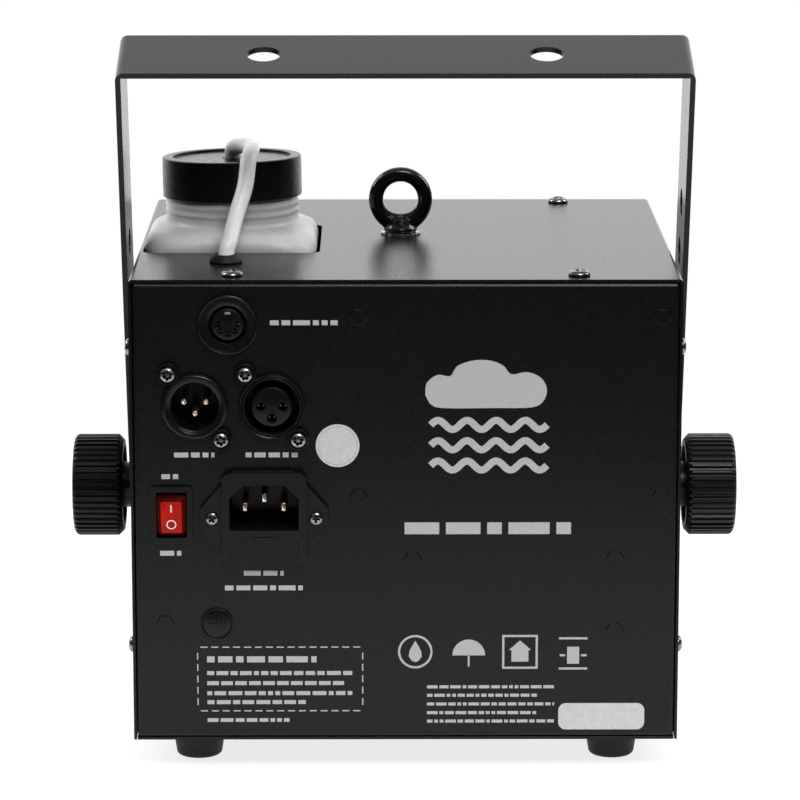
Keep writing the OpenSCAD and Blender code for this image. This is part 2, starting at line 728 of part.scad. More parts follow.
module inlet_outline() {
  wing = 7;
  slope = 11;
  polygon([[-inlet_wing / 2, wing / 2], [-slope, inlet_h / 2 + 0.8], [slope, inlet_h / 2 + 0.8],
    [inlet_wing / 2, wing / 2], [inlet_wing / 2, -wing / 2], [slope, -inlet_h / 2 - 0.8],
    [-slope, -inlet_h / 2 - 0.8], [-inlet_wing / 2, -wing / 2]]);
}

module socket_outline(w, h, c) {
  polygon([[-w / 2, -h / 2], [-w / 2, h / 2 - c], [-w / 2 + c, h / 2], [w / 2 - c, h / 2],
    [w / 2, h / 2 - c], [w / 2, -h / 2]]);
}

module inlet_body() {
  front = inlet_flange_t + inlet_raise;
  color(plain_black) on_rear(inlet_at) difference() {
    union() {
      along_y(-inlet_flange_t, inlet_flange_t) inlet_outline();
      along_y(-front, front) round_rect(inlet_w, inlet_h, 3);
      translate([-inlet_body_w / 2, 0, -inlet_body_h / 2]) cube([inlet_body_w, inlet_l, inlet_body_h]);
    }
    along_y(-front - cut, socket_depth + cut) translate([0, socket_up]) socket_outline(socket_w,
      socket_h, socket_cut);
    translate([-drawer_w / 2 - slip, -front - cut, drawer_up - drawer_h / 2 - slip])
      cube([drawer_w + 2 * slip, drawer_l + front + cut + 1, drawer_h + 2 * slip]);
    for (s = [-1, 1]) translate([s * inlet_screw_x, 0, 0]) rod_y(m3 + 2 * fit, -6, 8);
    blade_set(fit);
  }
}

// The three contact blades, grown by a gap for their slots
module blade_set(gap) {
  for (p = [[-pin_pitch / 2, pin_up], [pin_pitch / 2, pin_up], [0, earth_up]])
    translate([p[0] - 1 - gap, 1 - gap, p[1] - 2 - gap])
      cube([2 + 2 * gap, inlet_l + 5 + gap, 4 + 2 * gap]);
}

module inlet_pins() {
  color(steel) on_rear(inlet_at) blade_set(0);
}

module inlet_screws() {
  color(steel) on_rear(inlet_at) for (s = [-1, 1])
    translate([s * inlet_screw_x, -inlet_flange_t, 0]) pan_screw_rear(m3, 4.8, 1.4, 8);
}

fuse_d = 5;
module fuse_drawer() {
  front = inlet_flange_t + inlet_raise;
  color(plain_black) on_rear(inlet_at) translate([0, 0, drawer_up]) difference() {
    union() {
      translate([-drawer_w / 2, -front, -drawer_h / 2]) cube([drawer_w, drawer_l + front, drawer_h]);
      translate([-4.35, -front - 0.6, drawer_h / 2 - 1.6]) cube([8.7, 3, 1.5]);
    }
    translate([-drawer_w / 2 + 1.5, 5, -drawer_h / 2 + 1.2]) cube([drawer_w - 3, drawer_l - 7, drawer_h]);
  }
}

module fuse_link() {
  length = 20;
  color(milky) on_rear(inlet_at) translate([0, 5 + fuse_d / 2 + 2,
    drawer_up - drawer_h / 2 + 1.2 + fuse_d / 2 + fit])
    rotate([0, 90, 0]) {
      cylinder(d = fuse_d - 0.4, h = length, center = true);
      for (s = [-1, 1]) translate([0, 0, s * (length / 2 - 2.5)]) cylinder(d = fuse_d, h = 5, center = true);
    }
}

module earth_stud() {
  color(powder_black) on_rear(earth_at) {
    rod_y(11.8, -0.5, 0.5);
    rod_y(m4, -0.2, 14.2);
    rod_y(9, 1.2, 3);
  }
}

module panel_studs() {
  color(steel) for (p = concat(board_studs, power_studs, [clamp_at])) on_rear(p) {
    translate([0, 0, 0]) rotate([90, 30, 0]) cylinder(d = stud_hex / cos(30), h = 0.25, $fn = 6);
    rod_y(m4, -0.1, sheet + 0.2);
    translate([0, sheet, 0]) rotate([-90, 30, 0]) cylinder(d = 5.5 / cos(30), h = stud_l, $fn = 6);
  }
}

module blank_labels() {
  color([0.8, 0.8, 0.8]) {
    on_rear(sticker_at) rod_y(15.8, -label_t, label_t);
    on_rear(strip_at) along_y(-label_t, label_t) round_rect(31.5, 10, 2.8);
  }
}

// ---------- bottle and fluid ----------

module bottle_cradle() {
  w = bottle_w + 2 * 0.7;
  legs_h = shelf_z - base_top;
  color(steel) difference() {
    translate([bottle_x, 0, 0]) {
      translate([-w / 2 - cradle_t, cradle_front, shelf_z - cradle_t])
        cube([w + 2 * cradle_t, cradle_rear - cradle_front, cradle_t]);
      for (s = [-1, 1]) translate([s * (w / 2 + cradle_t / 2), (cradle_front + cradle_rear) / 2, shelf_z + 5])
        cube([cradle_t, 50, 12], center = true);
      for (y = [cradle_front, cradle_rear - cradle_t]) difference() {
        translate([-w / 2, y, base_top]) cube([w, cradle_t, legs_h - cradle_t / 2]);
        translate([-w / 2 + 9, y - cut, base_top + 3]) cube([w - 18, cradle_t + 2 * cut, legs_h - 11]);
      }
      for (y = [cradle_front - cradle_foot, cradle_rear - cradle_t]) translate([-w / 2, y, base_top])
        cube([w, cradle_foot + cradle_t, cradle_t]);
    }
    for (p = cradle_screws) translate([p[0], p[1], base_top - cut]) cylinder(d = m3 + 2 * fit, h = 5);
  }
}

// Outside of the bottle, or its inside when shrunk by the wall
module bottle_shape(shrink) {
  w = bottle_w - 2 * shrink;
  r = bottle_r - shrink;
  low = shelf_z + shrink;
  neck = neck_d - 2 * shrink;
  translate([0, 0, low]) linear_extrude(shoulder_z - low) round_rect(w, w, r);
  hull($fn = 32) {
    translate([0, 0, shoulder_z - 0.02]) linear_extrude(0.02) round_rect(w, w, r);
    translate([0, 0, shoulder_z + 5.5]) linear_extrude(0.02) round_rect(w - 5, w - 5, r + 8);
    translate([0, 0, neck_z - shrink]) cylinder(d = neck, h = 0.02);
  }
}

module bottle() {
  color(milky) translate([bottle_x, bottle_y, 0]) difference() {
    union() {
      bottle_shape(0);
      translate([0, 0, neck_z]) cylinder(d = neck_d - 1.2, h = cap_z - neck_z - 0.3);
      for (z = [0.3, 3.3]) translate([0, 0, neck_z + z]) cylinder(d = neck_d, h = 2);
      translate([0, 0, neck_z]) cylinder(d = thread_d, h = cap_top - 2.4 - neck_z);
    }
    bottle_shape(bottle_wall);
    translate([0, 0, neck_z - 4]) cylinder(d = thread_d - 5, h = 40);
  }
}

module bottle_cap() {
  color(plain_black) translate([cap_x, cap_y, 0]) difference() {
    translate([0, 0, cap_z]) {
      cylinder(d = cap_d, h = cap_h - 0.8);
      translate([0, 0, cap_h - 0.8]) cylinder(d1 = cap_d, d2 = cap_d - 1.6, h = 0.8);
    }
    translate([0, 0, cap_z - cut]) cylinder(d = thread_d + 2 * loose, h = cap_h - 2.2 + cut);
    translate([0, 0, cap_top - 1]) cylinder(d = cap_recess_d, h = 3);
    translate([0, 0, cap_z]) cylinder(d = tube_d + 4 * fit, h = cap_h + cut);
  }
}

module fluid_tube() {
  color(milky) sweep(cable(tube_route, 3), tube_d, 12);
}

module tube_grommet() {
  color(plain_black) translate([hole_x, hole_y, top_z]) rotate_extrude() {
    inner = tube_d / 2 + slip;
    polygon([[inner + 0.9, 3], [inner, 1.4], [inner, -sheet - 2.5], [inner + 2.4, -sheet - 2.5],
      [inner + 2.4, -sheet],
      [inner + 1.4, -sheet], [inner + 1.4, 0], [6.15, 0], [6.15, 1.6], [5, 3]]);
  }
}

module pickup_filter() {
  color(steel) translate([cap_x, cap_y, shelf_z + bottle_wall]) difference() {
    cylinder(d = 13, h = 14);
    translate([0, 0, 8 - bottle_wall]) cylinder(d = tube_d + 4 * fit, h = 20);
  }
}

module pump_body() {
  color([0.2, 0.2, 0.22]) translate([pump_x, pump_y, 0]) difference() {
    union() {
      translate([0, 0, pump_low]) cylinder(d = pump_d, h = pump_high - pump_low);
      for (z = [coil_low - 3, coil_low + coil_h]) translate([0, 0, z + fit])
        cylinder(d = pump_d + 6, h = 3 - 2 * fit);
      translate([0, 0, inlet_barb_z]) rotate([90, 0, 0]) cylinder(d = barb_d, h = barb_l);
      translate([0, 0, outlet_barb_z]) rotate([-90, 0, 0]) cylinder(d = barb_d, h = barb_l);
    }
    translate([0, 0, pump_low + 12]) cylinder(d = pump_bore, h = pump_high - pump_low - 17);
  }
}

module pump_coil() {
  color([0.15, 0.15, 0.17]) translate([pump_x, pump_y, coil_low]) difference() {
    translate([-coil_w / 2, -coil_w / 2, 0]) cube([coil_w, coil_w, coil_h]);
    translate([0, 0, -cut]) cylinder(d = pump_d + 2 * fit, h = coil_h + 2 * cut);
  }
}

module pump_plunger() {
  color(steel) translate([pump_x, pump_y, plunger_z]) cylinder(d = pump_bore - 2 * slip, h = plunger_l);
}

// Return spring between the plunger and the top of the pump bore
module pump_spring() {
  turns = 5;
  steps = 12;
  wire = 1;
  low = plunger_z + plunger_l + wire / 2 + fit;
  high = spring_top - wire / 2 - fit;
  path = [for (i = [0 : turns * steps]) let (a = 360 * i / steps)
    [3.6 * cos(a), 3.6 * sin(a), low + (high - low) * i / (turns * steps)]];
  color(steel) translate([pump_x, pump_y, 0]) sweep(path, wire, 6);
}

module pump_bracket() {
  leg = coil_w / 2 + 0.4;
  color(steel) difference() {
    translate([pump_x, pump_y, 0]) {
      translate([-leg - strap_t, -10, coil_low - strap_t - slip]) cube([2 * (leg + strap_t), 20, strap_t]);
      for (s = [-1, 1]) {
        translate([s * (leg + strap_t / 2), 0, (base_top + coil_low) / 2 + 5 - slip])
          cube([strap_t, 20, coil_low - base_top + 10 - 2 * slip], center = true);
        translate([s * (leg + strap_t + 4), 0, base_top + strap_t / 2]) cube([10, 20, strap_t],
          center = true);
      }
    }
    translate([pump_x, pump_y, coil_low - 8]) cylinder(d = pump_d + 7, h = 12);
    for (p = pump_screws) translate([p[0], p[1], base_top - cut]) cylinder(d = m3 + 2 * fit, h = 5);
  }
}

// ---------- heater ----------

module heater_block() {
  color(steel) translate([heater_x, heater_rear, heater_z]) difference() {
    union() {
      translate([-heater_w / 2, 0, -heater_h / 2]) cube([heater_w, heater_l, heater_h]);
      translate([0, 0, stub_up]) rod_y(stub_d, -stub_l, stub_l + cut);
      for (s = [-1, 1]) translate([s * terminal_x, 0, 0]) rod_y(7, -terminal_l, terminal_l + cut);
    }
    rod_y(8 + 2 * fit, heater_l - 10, 12);
    for (s = [-1, 1]) translate([s * 18, 0, 0]) rod_y(m3, heater_l - 12, 14);
  }
}

module heater_jacket() {
  color([0.85, 0.83, 0.76]) translate([heater_x, heater_rear, heater_z]) difference() {
    translate([-jacket_w / 2, 0, -jacket_h / 2]) cube([jacket_w, heater_l, jacket_h]);
    translate([-jacket_in_w / 2, -cut, -jacket_in_h / 2]) cube([jacket_in_w, heater_l + 2 * cut,
      jacket_in_h]);
  }
}

module heater_straps() {
  w = jacket_w + 2 * fit;
  h = jacket_h + 2 * fit;
  foot_low = base_top - heater_z;
  color(steel) for (y = strap_ys) difference() {
    translate([heater_x, 0, heater_z]) along_y(y - strap_w / 2, strap_w) difference() {
      union() {
        square([w + 2 * strap_t, h + 2 * strap_t], center = true);
        for (s = [-1, 1]) {
          translate([s > 0 ? w / 2 : -w / 2 - strap_t, foot_low]) square([strap_t, -foot_low]);
          translate([s > 0 ? w / 2 : -w / 2 - strap_t - strap_foot, foot_low])
            square([strap_t + strap_foot, strap_t]);
        }
      }
      square([w, h], center = true);
    }
    for (p = strap_screws) translate([p[0], p[1], base_top - cut]) cylinder(d = m3 + 2 * fit, h = 5);
  }
}

module thermostat() {
  color(steel) translate([heater_x, heater_rear, heater_z - 7]) {
    rod_y(thermo_d, -5, 5);
    for (s = [-1, 1]) translate([s * 3 - 0.4, -11, -2]) cube([0.8, 7, 4]);
  }
}

module nozzle() {
  color(brass) translate([heater_x, heater_front, heater_z]) difference() {
    union() {
      rod_y(8, -9, 10);
      translate([0, 0, 0]) rotate([-90, 0, 0]) cylinder(d = 17 / cos(30), h = 6, $fn = 6);
      rod_y(nozzle_d, 6, 17);
      translate([0, 23, 0]) rotate([-90, 0, 0]) cylinder(d1 = nozzle_d, d2 = 8, h = 5);
    }
    rod_y(nozzle_bore, -10, 40);
  }
}

module feed_pipe() {
  color(milky) sweep(cable(feed_route, 3), feed_d, 8);
}

// ---------- boards, fan and wires ----------

module board_block(x, z, w, h, d) {
  translate([x, board_y + board_t - 0.1, z]) cube([w, d + 0.1, h]);
}

module control_board() {
  low = board_studs[0];
  high = board_studs[3];
  edge = 2;
  color(board_green) difference() {
    union() {
      translate([low[0] - edge, board_y, low[1] - edge])
        cube([high[0] - low[0] + 2 * edge, board_t, high[1] - low[1] + 2 * edge]);
      board_block(block_x, block_z - 4, 32, 8, 10);
      board_block(high[0] - 44, high[1] - 34, 38, 30, 28);
      board_block(high[0] - 78, high[1] - 22, 19, 15, 16);
      board_block(high[0] - 78, high[1] - 44, 19, 15, 16);
      board_block(low[0] + 14, high[1] - 30, 12, 26, 9);
      for (i = [0 : 2]) translate([high[0] - 20 - i * 14, 0, low[1] + 14]) rod_y(10,
        board_y + board_t - 0.1, 18);
    }
  }
}

module power_board() {
  left = power_studs[0];
  low = power_studs[2];
  edge = 4;
  color(board_green) {
    translate([left[0] - edge, board_y, low[1] - edge])
      cube([low[0] - left[0] + 2 * edge, board_t, left[1] - low[1] + 2 * edge]);
    board_block(low_block_x, low_block_z - 4, 26, 8, 10);
    board_block(low[0] - 22, low[1] + 3, 20, 15, 16);
    translate([low[0] - 38, 0, low[1] + 11]) rod_y(12, board_y + board_t - 0.1, 20);
  }
}

module fan_frame() {
  color(plain_black) translate([fan_x, 0, fan_z]) difference() {
    along_y(fan_y, fan_t) round_rect(fan_w, fan_w, 4);
    difference() {
      rod_y(fan_hole, fan_y - cut, fan_t + 2 * cut);
      rod_y(fan_hub, fan_y - cut, 3 + cut);
      for (a = [45 : 90 : 315]) rotate([0, a, 0]) translate([0, fan_y - cut, -2]) cube([fan_w, 3 + cut, 4]);
    }
    rod_y(4 + 2 * fit, fan_y + 1, fan_t);
    for (x = [-1, 1], z = [-1, 1]) translate([x * fan_pitch / 2, 0, z * fan_pitch / 2])
      rod_y(m3 + 2 * fit, fan_y - cut, fan_t + 2 * cut);
  }
}

module fan_rotor() {
  blades = 7;
  color(plain_black) translate([fan_x, fan_y, fan_z]) {
    rod_y(fan_hub - 1, 3.6, fan_t - 4.6);
    rod_y(4, 1.4, 4);
    intersection() {
      rod_y(fan_hole - 2 * fan_gap, 3, fan_t - 4);
      for (i = [0 : blades - 1]) rotate([0, i * 360 / blades, 0]) translate([fan_hub / 2 - 2,
        fan_t / 2 + 1, 0])
        rotate([38, 0, 0]) translate([0, -0.7, -8]) cube([fan_hole / 2, 1.4, 16]);
    }
  }
}

module fan_guard() {
  wire = 1.8;
  lift = end_y + wire / 2 + 2;
  color(steel) translate([fan_x, lift, fan_z]) {
    for (r = [7 : 6.5 : 27]) rotate([90, 0, 0]) rotate_extrude() translate([r, 0]) circle(d = wire);
    for (x = [-1, 1], z = [-1, 1]) rotate([0, x > 0 ? -z * 45 : 180 + z * 45, 0]) difference() {
      union() {
        translate([6, 0.8, 0]) rotate([0, 90, 0]) cylinder(d = wire, h = fan_pitch * 0.7072 - 9.4);
        translate([fan_pitch * 0.7072, 0, 0]) rod_y(7, -wire / 2 - 2, wire + 2);
      }
      translate([fan_pitch * 0.7072, 0, 0]) rod_y(m3 + 2 * fit, -5, 10);
    }
  }
}

module fan_screws() {
  color(steel) for (x = [-1, 1], z = [-1, 1])
    translate([fan_x + x * fan_pitch / 2, 0, fan_z + z * fan_pitch / 2]) {
      translate([0, end_y + 3.8, 0]) rotate([-90, 0, 0]) pan_screw(m3, 5.6, 2, fan_t + 9);
      translate([0, fan_y - 2.4, 0]) difference() {
        rotate([-90, 0, 0]) cylinder(d = 6.2, h = 2.4, $fn = 6);
        rod_y(m3 + 2 * fit, -cut, 5);
      }
    }
}

module wiring() {
  from_tags = 4;
  color([0.35, 0.2, 0.12]) for (i = [0 : len(wires) - 1])
    sweep(cable(led(wires[i], i < from_tags ? 1 : -1), 3), wire_d, 8);
}

// ---------- yoke and knobs ----------

// Places a piece in the yoke's own frame: pivot at the origin, strip on +Z
module in_yoke() {
  translate([0, pivot_y, pivot_z]) rotate([yoke_lean, 0, 0]) children();
}

module yoke() {
  outer = leg_x + yoke_t;
  bend = 3;
  leg_holes_right = [101, 121];
  leg_holes_left = [85, 105];
  color(powder_black) in_yoke() difference() {
    union() {
      along_y(-yoke_w / 2, yoke_w) difference() {
        translate([0, yoke_r]) rotate(180) nose_rect(2 * outer, yoke_r, bend);
        translate([-leg_x, -cut]) square([2 * leg_x, yoke_r - yoke_t + cut]);
      }
      for (s = [-1, 1]) rod_x(yoke_w, leg_x, yoke_t, s);
    }
    for (s = [-1, 1]) rod_x(stud_d + 0.5, leg_x - cut, yoke_t + 2 * cut, s);
    for (s = [-1, 1]) translate([s * hang_x, 0, yoke_r]) cylinder(d = hang_d, h = 10, center = true);
    for (r = leg_holes_right) translate([0, 0, r]) rod_x(10.5, leg_x - cut, yoke_t + 2 * cut, 1);
    for (r = leg_holes_left) translate([0, 0, r]) rod_x(10.5, leg_x - cut, yoke_t + 2 * cut, -1);
  }
}

module at_pivot() {
  translate([0, pivot_y, pivot_z]) children();
}

module friction_washers() {
  color([0.3, 0.3, 0.32]) at_pivot() for (s = [-1, 1]) difference() {
    rod_x(20, side_x, yoke_gap - slip, s);
    rod_x(stud_d + 0.5, side_x - cut, yoke_gap + 2 * cut, s);
  }
}

module pivot_inserts() {
  color(steel) at_pivot() for (s = [-1, 1]) difference() {
    union() {
      rod_x(insert_d, side_x - insert_l, insert_l, s);
      rod_x(insert_d + 4, inner_x - 1.2, 1.2, s);
    }
    rod_x(stud_d + 2 * fit, side_x - insert_l - cut, insert_l + 2 * cut, s);
  }
}

module knob_washer(s) {
  color(plain_black) at_pivot() difference() {
    rod_x(collar_d, knob_x, collar_l, s);
    rod_x(stud_d + 2 * fit, knob_x - cut, collar_l + 2 * cut, s);
  }
}

// Knob with straight ribs, round outer edge and a hollow back, along +Z from z = 0
module knob_shape() {
  r = knob_d / 2;
  rib = 1.1;
  edge = 2.5;
  slack = 0.1;
  difference() {
    intersection() {
      linear_extrude(knob_l) polygon([for (i = [0 : 4 * knob_ribs - 1])
        let (a = 90 * i / knob_ribs, q = i % 4 < 2 ? r : r - rib) [q * cos(a), q * sin(a)]]);
      rotate_extrude() {
        polygon([[0, 0], [r - 2, 0], [r + cut, 3], [r + cut, knob_l - edge], [0, knob_l - edge]]);
        square([r + slack - edge, knob_l]);
        translate([r + slack - edge, knob_l - edge]) circle(edge);
      }
    }
    difference() {
      translate([0, 0, -cut]) cylinder(d = knob_d - 9, h = 8 + cut);
      translate([0, 0, -2 * cut]) cylinder(d = collar_d, h = 12);
    }
    translate([0, 0, -cut]) cylinder(d = stud_d + 2 * fit, h = knob_l - 4 + cut);
  }
}

module knob(s) {
  color(plain_black) at_pivot() translate([s * (knob_x + collar_l), 0, 0]) rotate([0, s * 90, 0])
    knob_shape();
}

module knob_stud(s) {
  color(steel) at_pivot() rod_x(stud_d, side_x - insert_l + 0.5,
    knob_x - side_x + collar_l + knob_l + insert_l - 5, s);
}

module knob_washer_left() { knob_washer(-1); }
module knob_left() { knob(-1); }
module knob_stud_left() { knob_stud(-1); }
module knob_washer_right() { knob_washer(1); }
module knob_right() { knob(1); }
module knob_stud_right() { knob_stud(1); }

top_cover();
base_plate();
rear_panel();
front_panel();
case_screws();
rubber_feet();
foot_screws();
eyebolt();
eyebolt_washer();
eyebolt_nut();
xlr_in_shell();
xlr_in_pins();
xlr_out_shell();
xlr_out_insert();
xlr_screws();
din_shell();
din_insert();
switch_housing();
switch_rocker();
inlet_body();
inlet_pins();
inlet_screws();
fuse_drawer();
fuse_link();
earth_stud();
panel_studs();
blank_labels();
bottle_cradle();
bottle();
bottle_cap();
fluid_tube();
tube_grommet();
pickup_filter();
pump_coil();
pump_body();
pump_plunger();
pump_spring();
pump_bracket();
heater_block();
heater_jacket();
heater_straps();
thermostat();
nozzle();
feed_pipe();
control_board();
power_board();
fan_frame();
fan_rotor();
fan_guard();
fan_screws();
wiring();
yoke();
friction_washers();
pivot_inserts();
knob_washer_left();
knob_left();
knob_stud_left();
knob_washer_right();
knob_right();
knob_stud_right();
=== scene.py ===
"""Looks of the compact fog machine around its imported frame: finishes, moulded details, print and studio."""

import json
import math

import bmesh
import bpy
from mathutils import Matrix, Vector


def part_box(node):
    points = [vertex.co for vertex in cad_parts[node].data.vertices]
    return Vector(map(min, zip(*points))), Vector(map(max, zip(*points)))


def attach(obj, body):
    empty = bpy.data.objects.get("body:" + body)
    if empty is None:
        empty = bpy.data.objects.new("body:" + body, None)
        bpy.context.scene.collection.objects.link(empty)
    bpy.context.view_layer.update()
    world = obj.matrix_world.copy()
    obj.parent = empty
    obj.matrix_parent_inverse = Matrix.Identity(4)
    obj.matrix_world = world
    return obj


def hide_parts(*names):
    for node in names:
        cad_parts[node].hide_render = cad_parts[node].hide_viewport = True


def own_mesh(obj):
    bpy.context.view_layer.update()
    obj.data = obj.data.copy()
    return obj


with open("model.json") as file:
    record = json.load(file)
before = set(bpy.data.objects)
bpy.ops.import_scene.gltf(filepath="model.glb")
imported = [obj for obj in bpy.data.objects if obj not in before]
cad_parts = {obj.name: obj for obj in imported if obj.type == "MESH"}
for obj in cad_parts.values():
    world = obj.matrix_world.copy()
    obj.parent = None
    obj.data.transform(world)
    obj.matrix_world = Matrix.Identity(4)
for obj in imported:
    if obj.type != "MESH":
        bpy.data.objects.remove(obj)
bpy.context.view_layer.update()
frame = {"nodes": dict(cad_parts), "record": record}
NODES = frame["nodes"]
MM = 0.001


# ---------- places from the frame ----------

def low(node):
    return Vector(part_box(node)[0])


def high(node):
    return Vector(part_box(node)[1])


def centre(node):
    return (low(node) + high(node)) / 2


def size(node):
    return high(node) - low(node)


STUD_PROUD = 0.25 * MM
LID_Z = high("top_cover").z
PANEL_Y = low("panel_studs").y + STUD_PROUD
TUBE_RADIUS = 3.0 * MM


# ---------- materials ----------

BLACK_GLOSS = 0.25           # specular level of the black finishes
NOISE_RANGE = (0.3, 0.7)     # the part of the noise that spans from the lowest to the highest value
RECESS_RANGE = (0.45, 0.95)  # open share of the view over a point, from deep recess to open face
SCREW_SHADE_REACH = 1.2 * MM
BOTTLE_SHADE_REACH = 18 * MM


def new_material(name, colour, roughness, metallic=0.0, **sockets):
    """A Principled material; sockets are set on the shader itself."""
    mat = bpy.data.materials.new(name)
    mat.use_nodes = True
    shader = mat.node_tree.nodes["Principled BSDF"]
    shader.inputs["Base Color"].default_value = (*colour, 1)
    shader.inputs["Roughness"].default_value = roughness
    shader.inputs["Metallic"].default_value = metallic
    for key, value in sockets.items():
        shader.inputs[key.replace("_", " ")].default_value = value
    return mat


def node(mat, kind, **settings):
    """A new shader node; settings are its properties or its input sockets."""
    made = mat.node_tree.nodes.new(kind)
    for key, value in settings.items():
        if hasattr(made, key):
            setattr(made, key, value)
        else:
            made.inputs[key.replace("_", " ")].default_value = value
    return made


def join(mat, a, out, b, into):
    mat.node_tree.links.new(a.outputs[out], b.inputs[into])


def shader_of(mat):
    return mat.node_tree.nodes["Principled BSDF"]


def grain(mat, scale, lowest, highest, detail=3.0, stretch=(1, 1, 1)):
    """Noise in object space, mapped to a range; returns the node whose first output carries it."""
    coords = node(mat, "ShaderNodeTexCoord")
    mapping = node(mat, "ShaderNodeMapping")
    mapping.inputs["Scale"].default_value = stretch
    noise = node(mat, "ShaderNodeTexNoise", Scale=scale, Detail=detail)
    span = node(mat, "ShaderNodeMapRange", From_Min=NOISE_RANGE[0], From_Max=NOISE_RANGE[1],
                To_Min=lowest, To_Max=highest)
    join(mat, coords, "Object", mapping, "Vector")
    join(mat, mapping, "Vector", noise, "Vector")
    join(mat, noise, 0, span, "Value")
    return span


def shade(mat, dark, light, scale, detail=3.0, stretch=(1, 1, 1)):
    """Varies the base colour between two tones."""
    value = grain(mat, scale, 0.0, 1.0, detail, stretch)
    ramp = node(mat, "ShaderNodeMix", data_type="RGBA")
    ramp.inputs[6].default_value = (*dark, 1)
    ramp.inputs[7].default_value = (*light, 1)
    join(mat, value, 0, ramp, 0)
    join(mat, ramp, 2, shader_of(mat), "Base Color")


def rough(mat, lowest, highest, scale):
    """Varies the roughness between two values."""
    join(mat, grain(mat, scale, lowest, highest), 0, shader_of(mat), "Roughness")


def relief(mat, scale, height, edge=0.0, detail=2.0):
    """Fine bump, over edges rounded by the given radius."""
    value = grain(mat, scale, 0.0, 1.0, detail)
    bump = node(mat, "ShaderNodeBump", Strength=1.0, Distance=height)
    join(mat, value, 0, bump, "Height")
    if edge:
        bevel = node(mat, "ShaderNodeBevel", samples=4, Radius=edge)
        join(mat, bevel, 0, bump, "Normal")
    join(mat, bump, 0, shader_of(mat), "Normal")


def powder(name, tone, edge):
    """Black powder coat: a satin skin with a fine orange-peel grain."""
    mat = new_material(name, (tone, tone, tone * 1.03), 0.3, Specular_IOR_Level=BLACK_GLOSS)
    shade(mat, (tone * 0.75, tone * 0.75, tone * 0.77), (tone * 1.3, tone * 1.3, tone * 1.34), 900)
    rough(mat, 0.25, 0.31, 1500)
    relief(mat, 1900, 0.000014, edge)
    return mat


def plastic(name, tone, roughness, edge, height=0.00002, scale=1500, gloss=BLACK_GLOSS):
    """Moulded black plastic or rubber with a fine grain."""
    mat = new_material(name, (tone, tone, tone * 1.04), roughness, Specular_IOR_Level=gloss)
    shade(mat, (tone * 0.85, tone * 0.85, tone * 0.87), (tone * 1.2, tone * 1.2, tone * 1.25), 300)
    rough(mat, roughness - 0.05, roughness + 0.05, 400)
    relief(mat, scale, height, edge)
    return mat


def shadowed(mat, reach, lowest=0.0):
    """Darkens the base colour in recesses deeper than about the given reach."""
    source = shader_of(mat).inputs["Base Color"].links[0].from_socket
    near = node(mat, "ShaderNodeAmbientOcclusion", samples=8, Distance=reach)
    span = node(mat, "ShaderNodeMapRange", From_Min=RECESS_RANGE[0], From_Max=RECESS_RANGE[1],
                To_Min=lowest)
    mix = node(mat, "ShaderNodeMix", data_type="RGBA", blend_type="MULTIPLY")
    mix.inputs[0].default_value = 1.0
    join(mat, near, "AO", span, "Value")
    mat.node_tree.links.new(source, mix.inputs[6])
    join(mat, span, 0, mix, 7)
    join(mat, mix, 2, shader_of(mat), "Base Color")
    return mat


def metal(name, dark, light, roughness, edge=0.0002, scale=600):
    """Metal whose tone and roughness vary a little, with softened edges."""
    mat = new_material(name, light, roughness, 1.0)
    shade(mat, dark, light, scale * 0.3)
    rough(mat, roughness - 0.07, roughness + 0.08, scale)
    relief(mat, scale * 2, 0.00001, edge)
    return mat


def make_metals():
    return {
        "zinc_steel": metal("zinc_steel", (0.42, 0.42, 0.43), (0.62, 0.62, 0.64), 0.28),
        "dark_steel": metal("dark_steel", (0.13, 0.13, 0.135), (0.26, 0.26, 0.27), 0.27),
        "galvanised": metal("galvanised", (0.38, 0.39, 0.4), (0.6, 0.61, 0.62), 0.38, 0.0002, 120),
        "brass": metal("brass", (0.55, 0.38, 0.13), (0.8, 0.6, 0.27), 0.24),
        "gilt_contacts": metal("gilt_contacts", (0.75, 0.58, 0.42), (0.98, 0.85, 0.7), 0.3),
        "cast_aluminium": metal("cast_aluminium", (0.42, 0.42, 0.43), (0.6, 0.6, 0.61), 0.45, 0.0004, 300),
        # Both screw finishes carry painted shade: their colour darkens in the drive recesses.
        "screw_dark": shadowed(metal("screw_dark", (0.16, 0.16, 0.17), (0.34, 0.34, 0.35), 0.2, 0.0001),
                               SCREW_SHADE_REACH),
        "screw_bright": shadowed(metal("screw_bright", (0.26, 0.26, 0.27), (0.44, 0.44, 0.45), 0.26, 0.0001),
                                 SCREW_SHADE_REACH),
    }


def make_blacks():
    return {
        "powder_coat": powder("powder_coat", 0.0045, 0.0003),
        "yoke_coat": powder("yoke_coat", 0.006, 0.0004),
        "black_plastic": plastic("black_plastic", 0.0055, 0.33, 0.00025),
        "gloss_black": plastic("gloss_black", 0.0035, 0.12, 0.0002, 0.00002, 700),
        "black_rubber": plastic("black_rubber", 0.009, 0.55, 0.0004, 0.00005, 1200),
        "powder_fine": powder("powder_fine", 0.0045, 0.0001),
        "cap_plastic": plastic("cap_plastic", 0.0045, 0.3, 0.00015, 0.00005, 900),
        "connector_black": plastic("connector_black", 0.005, 0.25, 0.00012),
        "insert_grey": plastic("insert_grey", 0.0028, 0.34, 0.00012),
        "eye_black": plastic("eye_black", 0.004, 0.2, 0.0002, 0.00003, 900, 0.6),
        # Painted shade: a near-black matt finish for the sheet inside the mains inlet's cavity.
        "cavity_shade_black": plastic("cavity_shade_black", 0.0015, 0.9, 0.0002, gloss=0.1),
    }


